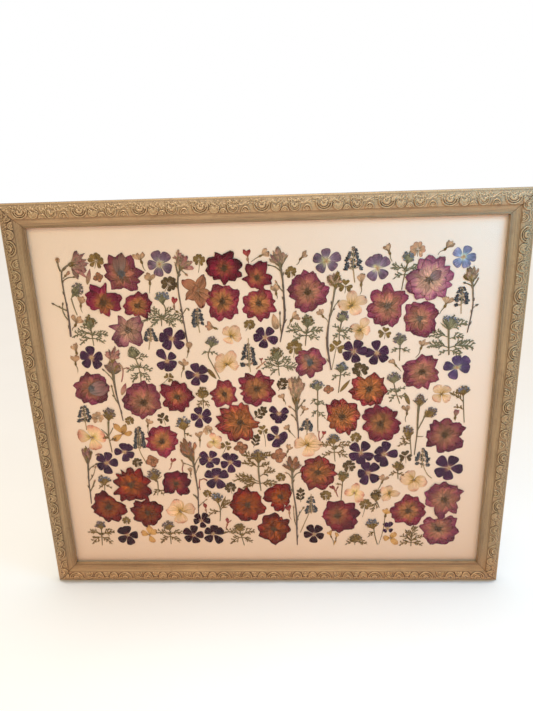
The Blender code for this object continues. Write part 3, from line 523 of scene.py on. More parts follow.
class Specimen:
    """Gathers the petals, leaves and stems of one dried plant, and makes one object of them.

    Each point carries where it is on its petal (across, along, and how far inside its edge) and its mood: the petal's
    own number, how far the point is from the heart to the rim, and how light the petal is."""

    def __init__(self, name, slot, *replaced):
        self.name, self.slot, self.replaced = name, slot, replaced
        self.random = random.Random(name)
        self.materials, self.count = [], 0
        self.places, self.petals, self.moods, self.faces, self.face_materials = [], [], [], [], []

    def take(self, points, lifts, petals, heart, dusk, faces, colour):
        if colour not in self.materials:
            self.materials.append(colour)
        lifts = np.clip(lifts, LEAST_LIFT, (PAPER - GLASS_BACK) / MM - GLASS_GAP)
        own, ones = self.random.random(), np.ones(len(points))
        self.places.append(
            np.stack([MIDDLE.x + points[:, 0] * MM, PAPER - lifts * MM, MIDDLE.z + points[:, 1] * MM], 1))
        self.petals.append(petals)
        self.moods.append(np.stack([ones * own, np.clip(heart, 0.0, 1.0), ones * dusk], 1))
        self.faces.extend([v + self.count for v in face] for face in faces)
        self.face_materials.extend([self.materials.index(colour)] * len(faces))
        self.count += len(points)

    def wavy(self, points, size, reach=6.0):
        """A gentle random height for each point."""
        seed = self.random.uniform(0, 90)
        return np.array([noise.noise((x / reach, z / reach, seed)) for x, z in points]) * size

    def sheet(self, outline, colour, lift, centre, tip, width, reach, dusk):
        """Fills an outline. Its colour runs from the flower's centre out to its reach."""
        points, faces = net(outline, NET_STEP)
        inside = depth_inside(points, outline)
        _, _, _, length, up, right = span(centre, tip)
        along = (points - centre) @ up / length
        across = (points - centre) @ right / (width / 2)
        heart = np.linalg.norm(points - centre, axis=1) / reach
        heart = heart + STAR * np.minimum(np.abs(across), 1.2) ** 2 * np.minimum(heart * 2, 1.0)
        self.take(points, lift + self.wavy(points, SHEET_WAVE) + SHEET_RISE * np.minimum(inside / 2, 1.0),
                  np.stack([across, along, inside], 1), heart, dusk, faces, colour)

    def blade(self, base, tip, width, colour, lift, form="obovate", rows=5, columns=2, wave=0.1, rise=0.12, frill=0.0,
              bend=0.0, sway=0.0, heart=(0.0, 1.0), star=0.0, dusk=1.0):
        """A petal or leaf as a grid from its base to its tip, with a raised midrib.

        It bends to one side, or by chance to either side within its sway. Its dusk may be a range to choose from."""
        if sway:
            bend = self.random.uniform(-sway, sway)
        if isinstance(dusk, tuple):
            dusk = self.random.uniform(*dusk)
        base, tip = arrays(base, tip)
        axis = tip - base
        length = max(np.linalg.norm(axis), 0.1)
        side = turned(axis / length, -math.pi / 2)
        a, b = FORMS[form]
        widest = a / (a + b)
        t = 0.02 + 0.98 * (1 - np.cos(np.pi * np.linspace(0, 1, rows + 1))) / 2
        half = width / 2 * (t / widest) ** a * np.maximum((1 - t) / (1 - widest), 0) ** b
        half = np.maximum(half, width * 0.02)
        curl = bend * length * np.sin(np.pi * t / 2) ** 2
        ruffle = [1 + frill * self.random.uniform(-1, 1) for _ in range(columns + 1)]
        spots, petals, heights = [], [], []
        for k in range(columns + 1):
            u = 2 * k / columns - 1
            spots.append(base + axis * (t * ruffle[k])[:, None] + side * (half * u + curl)[:, None])
            inside = np.minimum(half * (1 - abs(u)), length * (1 - t))
            petals.append(np.stack([np.full(len(t), u), t, inside], 1))
            heights.append(lift + rise * (1 - abs(u)) * np.ones(len(t)))
        points, petals = np.concatenate(spots), np.concatenate(petals)
        hearts = heart[0] + (heart[1] - heart[0]) * petals[:, 1] + star * petals[:, 0] ** 2 * petals[:, 1]
        self.take(points, np.concatenate(heights) + self.wavy(points, wave, 4.0), petals, hearts, dusk,
                  grid_faces(columns, rows + 1), colour)

    def stem(self, path, widths, colour, lift=0.3):
        """A rounded stalk along a path, as wide at each end as asked."""
        path = stem_line(path)
        ahead = np.gradient(path, axis=0)
        side = np.stack([ahead[:, 1], -ahead[:, 0]], 1) / np.linalg.norm(ahead, axis=1)[:, None]
        t = np.linspace(0, 1, len(path))
        half = np.interp(t, np.linspace(0, 1, len(widths)), widths) / 2
        half = half * (1 + 0.18 * self.wavy(path, 1.0, 5.0))
        spots, petals, heights = [], [], []
        for u in (-1.0, -0.55, 0.0, 0.55, 1.0):
            spots.append(path + side * (half * u)[:, None])
            petals.append(np.stack([np.full(len(t), u), t, half * (1 - abs(u)) + 0.2], 1))
            heights.append(lift + half * math.sqrt(1 - u * u) * 0.8)
        petals = np.concatenate(petals)
        self.take(np.concatenate(spots), np.concatenate(heights), petals, petals[:, 1], 1.0,
                  grid_faces(4, len(path)), colour)

    def make(self):
        mesh = bpy.data.meshes.new(self.name)
        mesh.from_pydata(np.concatenate(self.places).tolist(), [], self.faces)
        carry(mesh, petal=self.petals, mood=self.moods)
        for colour in self.materials:
            mesh.materials.append(petal(colour))
        mesh.polygons.foreach_set("material_index", self.face_materials)
        mesh.shade_smooth()
        mesh.update()
        make_piece(self.name, mesh, self.slot, *self.replaced)


# ---------------------------------------------------------------- roses

# The centre, the colour, how many inner petals the rose shows, how light it is, and its heart's colour if not dark.
ROSES = (
    ((-184, 187), "mauve", 9, 0.92, "heart_grey"), ((-51, 191), "wine", 7, 1.05), ((-9.5, 178.5), "burgundy", 6, 1.0),
    ((-212, 150), "bright", 4, 1), ((-167, 145), "crimson", 8, 1), ((-56, 148), "crimson", 7, 1),
    ((-8.5, 144.5), "crimson", 8, 1.1), ((54.6, 157.7), "mauve", 8, 1.05),
    ((-183, 112), "pale_mauve", 5, 0.8, "heart_pale"), ((208, 170), "pale_mauve", 9, 1.12, "heart_pale"),
    ((157, 137.5), "mauve", 8, 1.12, "heart_pale"), ((198.6, 119.7), "mauve", 8, 1.15, "heart_pale"),
    ((57, 63), "mauve", 6, 1.1, "heart_grey"), ((205, 47), "mauve", 8, 1.08),
    ((-243, 31), "mauve", 7, 0.88, "heart_grey"), ((-172, 10), "mauve", 9, 0.97), ((-125, 17), "burgundy", 8, 1.1),
    ((-60, 20), "crimson", 8, 1.1), ((-15, 27), "crimson", 9, 0.88), ((136, 24), "brown_orange", 8, 1.08),
    ((-40, -22), "brown_orange", 10, 1.05), ((100, -16), "brown_orange", 8, 1.05), ((153, -27), "crimson", 8, 0.86),
    ((-152, -50), "crimson", 8, 1.22), ((241, -45), "mauve", 9, 0.78), ((67, -101), "brown_orange", 12, 0.92),
    ((-203, -118), "ember", 8, 0.97), ((-137, -117), "wine", 6, 0.95), ((13, -140), "ember", 8, 1.0),
    ((-35, -153), "brown_ember", 9, 0.97), ((-240, -155), "ember", 8, 0.88), ((-184, -165), "ember", 10, 0.8),
    ((95, -172), "burgundy", 11, 0.95), ((2, -194), "brown_ember", 9, 0.92), ((196, -164), "crimson", 8, 1.0),
    ((246, -146), "mauve", 8, 1.1), ((241, -195), "mauve", 8, 1.03),
)
# Faded petals that lie on a rose: its number, their foot, their tip, their width and colour.
FADED_PETALS = (
    (1, (-187, 186), (-190, 208), 10, "faded"), (1, (-183, 190), (-181, 213), 11, "faded"),
    (15, (-246, 27), (-221, 34), 22, "faded_mauve"), (4, (-214, 153), (-225, 166), 6, "burgundy"),
    (10, (209, 171), (222, 180), 12, "faded_mauve"), (13, (57, 64), (50, 74), 8, "faded"),
)
CLEFT_TURN = -0.30  # the sine of the least turn inwards that parts two petals
LEAST_PETAL_ARC = 5.0
WIDE_PETAL = 17.0
GOLDEN_ANGLE = 2.399
# A rose whose solid is this far in front of the paper lies over its neighbours, and is raised.
OVER, RAISED = 1.2 * MM, 0.75
# The lift of the lowest petal in each of its layers, and how much the others add to it at most.
OUTER_LIFT, SECOND_LIFT, INNER_LIFT = (0.10, 0.36), (0.50, 0.16), (0.72, 0.20)
FADED_LIFT, THREAD_LIFT, STAR_LIFT, DOT_LIFT = 0.95, 0.96, 0.98, 1.02


def layered(lifts, place, count, over):
    """The lift of one petal of a layer, by its place among the count."""
    return lifts[0] + over + lifts[1] * place / count


def clefts_of(loop):
    """Indexes of the points where the outline turns inwards, between two petals."""
    before = loop - np.roll(loop, 1, axis=0)
    after = np.roll(loop, -1, axis=0) - loop
    turn = before[:, 0] * after[:, 1] - before[:, 1] * after[:, 0]
    sharp = turn / (np.linalg.norm(before, axis=1) * np.linalg.norm(after, axis=1) + 1e-9)
    kept = []
    for k in np.flatnonzero(sharp < CLEFT_TURN):
        if not kept or np.linalg.norm(loop[k] - loop[kept[-1]]) > LEAST_PETAL_ARC:
            kept.append(k)
    return kept


def split_long(loop, clefts, centre, rnd):
    """The outline and its clefts, with shallow clefts added where a stretch is long enough for several petals."""
    points, kept = [], []
    for start, end in zip(clefts, clefts[1:] + clefts[:1]):
        arc = evenly(stretch(loop, start, end), 1.0, closed=False)
        parts = int(len(arc) / WIDE_PETAL + 0.5)
        kept.append(len(points))
        for cut in range(1, parts):
            at = int(len(arc) * (cut + rnd.uniform(-0.15, 0.15)) / parts)
            depth = rnd.uniform(1.6, 3.4)
            for near in range(max(at - 4, 1), min(at + 5, len(arc) - 1)):
                arc[near] += unit(centre - arc[near]) * depth * (1 - abs(near - at) / 5)
            kept.append(len(points) + at)
        points.extend(arc[:-1])
    return np.array(points), kept


def ragged(arc, centre, rose):
    """The petal's end with a pointed tip, a few small teeth and a rough edge."""
    rnd = rose.random
    arc = evenly(soften(arc, 1, closed=False), 0.8, closed=False)
    away = arc - centre
    far = np.linalg.norm(away, axis=1)
    run = np.arange(len(arc)) * 0.8
    room = np.clip(np.minimum(run, run[-1] - run) / 2.5, 0, 1)
    teeth = rnd.uniform(0.1, 1.2) * np.exp(-((run - run[far.argmax()]) / 1.3) ** 2)
    for _ in range(max(int(run[-1] / 7), 1)):
        teeth = teeth + rnd.uniform(0.4, 1.1) * np.exp(-((run - rnd.uniform(0, run[-1])) / 0.8) ** 2)
    return arc + away / far[:, None] * ((teeth + 0.35 * rose.wavy(arc, 1.0, 1.3)) * room)[:, None]


def rose_petal_outline(arc, centre, spread):
    """A petal that ends in this stretch of the outline, with sides that bulge under its neighbours."""
    sides = []
    for corner, sign in ((arc[0], -1), (arc[-1], 1)):
        inwards = centre - corner
        aside = turned(inwards, -sign * math.pi / 2)
        t = np.linspace(0, 1, 7)[1:, None]
        sides.append((1 - t) ** 2 * corner + 2 * t * (1 - t) * (corner + inwards * 0.45 + aside * spread)
                     + t**2 * (centre + aside * 0.10))
    return np.concatenate([arc, sides[1], sides[0][::-1]])


def make_rose(number, centre, colour, inner, tone, heart="heart"):
    """Outer petals that end in the outline, a second row over the gaps between them, and a small star of short ones."""
    node = f"rose_{number:02d}"
    rose = Specimen("pressed_" + node, "dried_rose_petal", node)
    rnd = rose.random
    loop = silhouette(node)
    centre = np.array(centre, float)
    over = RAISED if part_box(node)[0].y < PAPER - OVER else 0.0
    reach = np.percentile(np.linalg.norm(loop - centre, axis=1), 80)
    loop, clefts = split_long(loop, clefts_of(loop), centre, rnd)
    stack = list(range(len(clefts)))
    rnd.shuffle(stack)
    for order, k in enumerate(stack):
        arc = ragged(stretch(loop, clefts[k], clefts[(k + 1) % len(clefts)]), centre, rose)
        outline = evenly(rose_petal_outline(arc, centre, rnd.uniform(0.10, 0.24)), 1.1)
        tip = arc[np.linalg.norm(arc - centre, axis=1).argmax()]
        rose.sheet(outline, colour, layered(OUTER_LIFT, order, len(stack), over), centre, tip,
                   np.linalg.norm(arc[-1] - arc[0]) + 3, reach, tone * rnd.uniform(0.66, 1.30))
    for k, cleft in enumerate(clefts):
        if inner < 7 and k % 2:
            continue
        out = loop[cleft] - centre
        size = np.linalg.norm(out) * rnd.uniform(0.78, 0.98)
        way = turned(unit(out), rnd.uniform(-0.12, 0.12)) * size
        rose.blade(centre + way * 0.06, centre + way, size * rnd.uniform(0.50, 0.72), colour,
                   layered(SECOND_LIFT, k, len(clefts), over), rnd.choice(("pointed", "obovate", "round")), 10, 8,
                   wave=0.16, frill=0.06, heart=(0.04, size / reach), star=STAR * size / reach,
                   bend=rnd.uniform(-0.08, 0.08), dusk=tone * rnd.uniform(0.66, 1.28))
    start_angle = rnd.uniform(0, 6.28)
    for k in range(inner):
        angle = start_angle + (k + rnd.uniform(-0.25, 0.25)) * 2 * math.pi / inner
        size = reach * rnd.uniform(0.42, 0.66)
        way = heading(angle) * size
        rose.blade(centre + way * 0.08, centre + way, size * rnd.uniform(0.34, 0.55), colour,
                   layered(INNER_LIFT, k, inner, over), rnd.choice(("lance", "pointed")), 9, 6, wave=0.14, frill=0.05,
                   heart=(0.10, size / reach * 0.85), star=0.12,
                   bend=rnd.uniform(-0.10, 0.10), dusk=tone * rnd.uniform(0.66, 1.34))
    for on, foot, tip, width, faded in FADED_PETALS:
        if on == number:
            rose.blade(foot, tip, width, faded, FADED_LIFT + over, "round", 9, 8, frill=0.08)
    make_rose_heart(rose, centre, reach, heart, over)
    rose.make()


def make_rose_heart(rose, centre, reach, colour, over):
    """The dried middle: a small dark star with a ring of fine threads."""
    rnd = rose.random
    for k in range(18):
        size = reach * rnd.uniform(0.12, 0.30)
        way = heading(k * GOLDEN_ANGLE + rnd.uniform(-0.2, 0.2)) * size
        rose.blade(centre + way * 0.15, centre + way, 0.6, "stamen", THREAD_LIFT + over, "strap", 2, sway=0.1,
                   wave=0.05)
    for k in range(9):
        size = reach * rnd.uniform(0.14, 0.25)
        way = heading(k * 0.7 + rnd.uniform(-0.25, 0.25)) * size
        rose.blade(centre, centre + way, rnd.uniform(1.4, 2.3), "heart", STAR_LIFT + over, "lance", 4, wave=0.05,
                   sway=0.12, dusk=(0.8, 1.6))
    count, crowding = (30, 0.032) if colour == "heart_grey" else (18, 0.035)
    for k in range(count):
        spot = centre + heading(k * GOLDEN_ANGLE) * (reach * crowding * math.sqrt(k + 0.5) * rnd.uniform(0.8, 1.2))
        rose.blade(spot - (0.0, 1.0), spot + (0.0, 1.0), rnd.uniform(1.6, 2.3), colour, DOT_LIFT + over, "round",
                   3, rise=0.2, dusk=(0.6, 1.3))


# ---------------------------------------------------------------- tall flowers

# The stems of each tall flower, the main one first: a path and its widths from the foot to the end.
TALL_FLOWERS = {
    "paintbrush_01": (
        (((-261.5, 105), (-261, 120), (-260.5, 140), (-262.5, 165), (-263, 190), (-258, 197), (-247, 202)),
         (2.6, 1.8, 2.4)), (((-260.5, 126), (-265.5, 133), (-268, 141), (-266, 150)), (2.0, 1.2)),
        (((-260.5, 140), (-270, 144.5), (-279, 150)), (2.2, 1.2)),
        (((-261, 180), (-255, 184), (-246, 184.5)), (1.6, 1.2)),
        (((-263, 192), (-265.5, 200), (-264.5, 207)), (2.4, 1.4)), (((-261, 183), (-257, 187)), (1.2, 1.0)),
    ),
    "paintbrush_02": (
        (((-105.5, 95), (-108.5, 125), (-111.5, 155), (-112.5, 172), (-110.5, 185), (-106, 193)), (1.8, 1.8, 2.4)),
        (((-109.5, 131), (-105, 138), (-102, 141.5), (-100.5, 138)), (1.4, 1.0)),
        (((-111, 185), (-113, 197), (-110, 204), (-115, 206)), (2.4, 1.2)),
        (((-107, 191), (-103, 187), (-100, 184)), (1.4, 1.0)), (((-109, 131), (-116, 136)), (1.2, 0.7)),
    ),
    "paintbrush_03": (
        (((18, 92), (22, 112), (25, 124), (24, 154), (23.5, 170), (22, 183), (19.5, 195)), (1.4, 3.0, 2.2, 3.0)),
        (((20, 104), (18.2, 113), (18.6, 131)), (1.6, 1.0)), (((24, 158), (19, 164), (14.5, 172)), (1.4, 1.0)),
        (((22, 184), (14, 191.5), (5, 193.5)), (1.6, 1.0)), (((21, 191), (25.5, 198), (29, 203.5)), (2.0, 1.2)),
    ),
    "paintbrush_04": (
        (((85, 52), (81, 76), (79.5, 88), (80.5, 110), (85, 135), (88, 150), (89.5, 163)), (1.6, 3.4, 1.8, 2.6)),
        (((83.5, 124), (88.5, 138), (94, 145)), (1.4, 0.9)), (((89.5, 160), (95, 166), (97.5, 169.5)), (1.6, 1.0)),
    ),
    "paintbrush_05": (
        (((260.5, 100), (263, 115), (265, 131), (265, 142), (263, 160), (261.5, 167)), (1.4, 1.6, 2.6)),
        (((265, 131), (268, 135), (270, 136)), (1.0, 0.7)), (((263, 159), (267, 165), (269, 170)), (2.2, 1.2)),
        (((263, 160), (257, 163.5), (252, 165)), (1.8, 1.0)),
    ),
    "paintbrush_06": (
        (((-204, -18), (-206.5, 4), (-208.5, 15), (-210.5, 40), (-210, 56)), (1.4, 2.2, 4.0)),
        (((-208, 9), (-212, 15), (-214.5, 34)), (2.0, 1.1)), (((-210.5, 41), (-216, 50), (-223, 57.5)), (1.8, 1.2)),
    ),
    "paintbrush_07": (
        (((40, -48), (40, -35), (39, -22), (37.5, -8), (38.5, 8)), (1.4, 2.8, 4.5)),
        (((39, -21), (35, -16), (32, -13)), (1.8, 1.0)), (((37.5, -9), (33, -3), (29, -0.5)), (1.8, 1.0)),
        (((38, -7), (43, 1), (49, 8.5)), (2.0, 1.1)),
    ),
    "paintbrush_08": (
        (((-265.5, -149), (-265, -132), (-265, -113), (-262.5, -86), (-261, -74)), (1.6, 1.8, 3.4)),
        (((-265, -130), (-260.5, -122), (-256, -112)), (1.6, 2.4)),
        (((-265, -113), (-257, -104), (-252, -89)), (1.4, 0.9)),
        (((-264, -97), (-259, -89.5), (-250, -84.5)), (1.4, 1.1)),
    ),
    "paintbrush_09": (
        (((-108, -168), (-107, -144), (-106, -130), (-108.5, -103), (-109.5, -83), (-114, -73)), (1.6, 2.2, 3.6)),
        (((-107.5, -156), (-101, -149), (-94.5, -143.5)), (1.4, 1.0)),
        (((-107, -145), (-110.5, -139), (-112.5, -136.5)), (2.0, 1.1)),
        (((-108.5, -103), (-105, -95), (-103, -90)), (1.4, 1.0)),
        (((-108.5, -92), (-116, -87.5), (-123, -85)), (1.4, 0.9)),
        (((-108.5, -89), (-104, -79), (-100.5, -75)), (1.6, 1.1)),
    ),
    "paintbrush_10": (
        (((36, -221), (35.5, -191), (36, -176), (35, -158), (30.5, -125), (30.5, -108), (30.5, -96)),
         (1.6, 2.6, 2.0, 3.4)), (((35.5, -190), (32, -179), (31.5, -157)), (1.4, 1.0)),
        (((36, -177), (40, -168), (46, -158)), (1.8, 1.0)), (((30.5, -112), (26, -103), (22, -101.5)), (1.8, 1.0)),
        (((30.5, -112), (36, -103), (41, -101)), (2.0, 1.1)),
    ),
    "thistle_01": (
        (((-225, -66), (-227.5, -42), (-226.5, -32), (-225, -18)), (1.4, 1.8, 3.0)),
        (((-227.5, -41), (-232, -35), (-237, -30)), (1.6, 1.0)),
        (((-227.5, -41), (-222.5, -34), (-219.5, -28)), (1.6, 1.1)),
    ),
    "thistle_02": (
        (((201, -75), (203, -47), (203.5, -39), (203, -25), (203.5, 0)), (1.4, 2.0, 3.4)),
        (((203, -47), (208, -47.5), (212, -47)), (1.2, 0.8)), (((203.5, -38), (207.5, -29), (213, -16)), (1.4, 2.0)),
        (((203.5, -2), (199, 4), (195, 7)), (2.0, 1.1)), (((204, -3), (210.5, 3), (215, 8.5)), (2.0, 1.1)),
    ),
    "verbena_01": ((((239, 70), (238.5, 78), (237, 96), (236.5, 106)), (2.0, 2.6)),),
    "verbena_02": ((((-15, -130), (-17, -108), (-17.5, -97), (-17, -85)), (1.6, 3.0)),),
}
# Their heads: the base, the tip, the width, the colour and a second colour.
HEADS = {
    "paintbrush_01": (
        ((-250, 201), (-227, 197), 32, "bract", "pink"), ((-258, 186), (-251, 191), 4.5, "rust", "stem_tan"),
        ((-266, 203), (-264, 210), 6, "rust", "olive"),
    ),
    "paintbrush_02": (
        ((-108, 190), (-98, 209), 22, "pink", "bract_pale"), ((-110, 204), (-107, 214), 6, "pink", "bract_pale"),
    ),
    "paintbrush_03": (((21, 190), (17, 212), 19, "bract_pale", "bract"),),
    "paintbrush_04": (((90, 163), (88, 182), 20, "bract_pale", "olive"),),
    "paintbrush_05": (((262, 165), (258, 184), 17, "bract_pale", "olive"),),
    "paintbrush_06": (
        ((-210.5, 50), (-209, 72), 20, "bract", "olive"), ((-209.5, 68), (-206.5, 87), 19, "pink", "bract"),
    ),
    "paintbrush_07": (((37.5, 2), (38, 42), 25, "bract_pale", "tan"),),
    "paintbrush_08": (
        ((-262.5, -84), (-261, -59), 15, "bract", "olive"), ((-250, -70), (-243, -69), 4, "pink", "bract"),
    ),
    "paintbrush_09": (((-110, -82), (-121, -49), 25, "bract_rust", "bract"),),
    "paintbrush_10": (((31, -100), (31, -77), 24, "bract_rust", "bract"),),
    "thistle_01": (((-224.5, -18), (-220, 3), 20, "grey_purple", "olive"),),
    "thistle_02": (
        ((203.5, -2), (205.5, 16), 13, "grey_purple", "olive"), ((211, -18), (229, -5), 17, "grey_purple", "olive"),
    ),
    "verbena_01": (((236.5, 103), (240, 127), 26, "faded_blue", "grey_green"),),
    "verbena_02": (((-17, -86), (-16, -62), 23, "grey_purple", "olive"),),
}
# The base and tip of each feathery leaf.
FEATHER_LEAVES = {
    "verbena_01": (
        ((238, 80), (212, 82)), ((239, 80), (269, 80)), ((237, 94), (213, 96)), ((238, 92), (256, 93)),
        ((237, 104), (259, 110)), ((237, 76), (226, 70)), ((240, 76), (254, 69)),
    ),
    "verbena_02": (
        ((-17, -115), (-50, -112)), ((-16, -107), (6, -99)), ((-17, -92), (-39, -86)), ((-17, -92), (-2, -87)),
        ((-17, -84), (-38, -72)), ((-17, -84), (1, -73)), ((-17, -118), (-40, -124)), ((-16, -118), (6, -120)),
    ),
    "thistle_01": (((-226, -46), (-235, -44)), ((-226, -48), (-217, -46))),
}


def spread_head(plant, base, tip, width, colour, second):
    """A flattened shuttlecock: rows of bracts that rise from its narrow foot and open towards its ragged top."""
    rnd, lift = plant.random, 0.75
    base, _, axis, length, _, right = span(base, tip)
    plant.blade(base - axis * 0.05, base + axis * 0.72, width * 0.66, colour, lift - 0.10, "fan", 7, 7, frill=0.16,
                heart=(0.2, 0.9), dusk=0.85)
    plant.blade(base - axis * 0.10, base + axis * 0.42, width * 0.40, second, lift - 0.05, "fan", 6, 6,
                heart=(0.1, 0.6), dusk=0.72)
    open_to = min(math.radians(88), 1.5 * width / length)
    count = int(6 + (length + width) * 0.18)
    for ring, reach, share in ((0, 1.0, 1.0), (1, 0.78, 0.7), (2, 0.52, 0.5)):
        number = max(int(count * share), 3)
        for k in range(number):
            phi = open_to * (2 * (k + 0.5) / number - 1) + rnd.uniform(-0.18, 0.18)
            grown = reach * rnd.uniform(0.80, 1.12)
            end = base + axis * (0.34 + 0.66 * math.cos(phi)) * grown + right * (math.sin(phi) * width * 0.56 * grown)
            foot = base + axis * rnd.uniform(0.02, 0.18) + (end - base) * rnd.uniform(0.04, 0.20)
            if length > 30:
                foot = foot + (end - foot) * rnd.uniform(0.2, 0.6)
            size = np.linalg.norm(end - foot)
            plant.blade(foot, end, min(max(size * rnd.uniform(0.28, 0.42), 1.3), 6.5),
                        rnd.choice((colour, colour, colour, second)), lift + 0.10 * ring + rnd.uniform(0, 0.08),
                        rnd.choice(("obovate", "pointed", "petal")), bend=rnd.uniform(-0.18, 0.18), rows=6, columns=5,
                        frill=0.14, heart=(0.05, rnd.uniform(0.6, 1.0)), dusk=(0.55, 1.35))
    for lean in (-0.5, 0.0, 0.45):
        way = turned(axis, lean)
        plant.blade(base - way * 0.06, base + way * rnd.uniform(0.24, 0.36), width * 0.16, "olive", lift + 0.26,
                    "pointed", 4, dusk=(0.7, 1.1))


def bristled_head(plant, base, tip, width, colour, second, lift=0.45):
    """A verbena's head: a narrow green foot that opens into spiky cups, under a dome of small faded florets."""
    rnd = plant.random
    base, _, axis, _, up, right = span(base, tip)
    plant.blade(base - axis * 0.05, base + axis * 0.62, width * 0.62, second, lift, "fan", 7, 8, heart=(0.1, 0.9),
                frill=0.14, dusk=0.95)
    for k in range(18):
        phi = math.radians(82) * (2 * (k + 0.5) / 18 - 1) + rnd.uniform(-0.1, 0.1)
        grown = rnd.uniform(0.72, 1.06)
        end = base + (axis * (0.26 + 0.60 * math.cos(phi)) + right * math.sin(phi) * width * 0.49) * grown
        foot = base + axis * rnd.uniform(0.0, 0.25) + (end - base) * rnd.uniform(0.1, 0.4)
        plant.blade(foot, end, rnd.uniform(1.5, 2.6), second, lift + 0.12 + rnd.uniform(0, 0.2), "lance", 4, sway=0.12,
                    heart=(0.1, 0.9), dusk=(0.65, 1.6))
    for k in range(26):
        phi = math.radians(78) * rnd.uniform(-1, 1)
        out = math.sqrt(rnd.uniform(0.16, 0.95))
        spot = base + axis * 0.30 + (axis * 0.56 * math.cos(phi) + right * math.sin(phi) * width * 0.42) * out
        for _ in range(2):
            way = turned(up, -phi + rnd.uniform(-1.4, 1.4))
            size = rnd.uniform(1.8, 3.6)
            plant.blade(spot, spot + way * size, size * rnd.uniform(0.6, 0.9), rnd.choice((colour, colour, second)),
                        lift + 0.4 + rnd.uniform(0, 0.15), "petal", 4, wave=0.12, frill=0.15,
                        heart=(0.1, rnd.uniform(0.6, 1.0)), dusk=(0.45, 1.35))


def feather_leaf(plant, base, tip, colour, lift=0.35, lobe_width=1.25):
    """A finely cut leaf: a rib that bows upwards, with narrow forked lobes that point ahead."""
    rnd = plant.random
    base, tip, axis, length, up, _ = span(base, tip)
    bow = np.array((0.0, length * rnd.uniform(0.10, 0.20)))
    plant.stem((base, base + axis * 0.5 + bow, tip), (1.3, 0.8), colour, lift)
    lobes = max(int(length / 5.0), 2) * 2
    for k in range(lobes):
        t = 0.16 + 0.76 * (k + rnd.uniform(0, 0.5)) / lobes
        foot = base + axis * t + bow * math.sin(math.pi * t)
        size = length * (0.46 - 0.24 * t) * rnd.uniform(0.75, 1.25)
        way = unit(turned(up, (-1, 1)[k % 2] * rnd.uniform(0.45, 0.80)) + (0.0, 0.14))
        plant.blade(foot, foot + way * size, lobe_width * rnd.uniform(1.0, 1.4), colour, lift + 0.08, "strap", 4,
                    sway=0.15, heart=(0.2, 0.9), dusk=(0.7, 1.25))
        for at, lean in ((0.40, 0.55), (0.62, -0.50)):
            if size > 3.6:
                fork = foot + way * size * at
                plant.blade(fork, fork + turned(way, lean * rnd.uniform(0.8, 1.2)) * size * 0.46, lobe_width * 0.9,
                            colour, lift + 0.1, "strap", 3, heart=(0.2, 0.9), dusk=(0.7, 1.25))
    plant.blade(tip - up * 2.0, tip + up * rnd.uniform(0.5, 1.8), lobe_width * 1.1, colour, lift + 0.1, "pointed", 3)


def leaf_tuft(plant, spot, colour):
    """The short narrow lobes that stand at a verbena's node."""
    rnd = plant.random
    for k in range(8):
        way = turned((0.0, 1.0), math.radians(62) * (2 * (k + 0.5) / 8 - 1) + rnd.uniform(-0.1, 0.1))
        plant.blade(spot, spot + way * rnd.uniform(5.0, 9.5), rnd.uniform(1.1, 1.7), colour, 0.5 + rnd.uniform(0, 0.15),
                    "lance", 4, sway=0.15, heart=(0.2, 0.9), dusk=(0.65, 1.2))


def make_tall_flower(name, stems):
    plant = Specimen("pressed_" + name, "dried_stem_and_bract", name)
    rnd = plant.random
    leafy = name.startswith(("verbena", "thistle"))
    for n, (path, widths) in enumerate(stems):
        plant.stem(path, widths, "stem" if leafy or n else "stem_purple", 0.55 - 0.1 * (n > 0))
        if leafy:
            continue
        if n:
            before, tip = arrays(*path[-2:])
            way = unit(tip - before)
            plant.blade(tip - way * 2.4, tip + way * rnd.uniform(1.5, 3.0), rnd.uniform(2.2, 3.4),
                        rnd.choice(("olive", "rust", "stem_purple")), 0.6, "pointed", 4, dusk=0.9)
        line = stem_line(path)
        for spot in range(4, len(line) - 4, 9 if n else 7):
            way = unit(line[spot + 1] - line[spot])
            way = way if (line[-1] - line[0]) @ way > 0 else -way
            size = rnd.uniform(5.0, 9.5) * (0.6 if n else 1.0)
            plant.blade(line[spot], line[spot] + turned(way, rnd.choice((-1, 1)) * rnd.uniform(0.12, 0.42)) * size,
                        rnd.uniform(1.5, 2.4), rnd.choice(("stem_purple", "stem_purple", "olive")), 0.62, "lance",
                        sway=0.2, dusk=(0.6, 1.0))
    for leaf in FEATHER_LEAVES.get(name, ()):
        feather_leaf(plant, *leaf, "grey_green" if name == "verbena_01" else "olive", 0.5, 1.5)
    for head in HEADS[name]:
        if leafy:
            bristled_head(plant, *head, lift=0.7)
        else:
            spread_head(plant, *head)
    plant.make()


# ---------------------------------------------------------------- small specimens

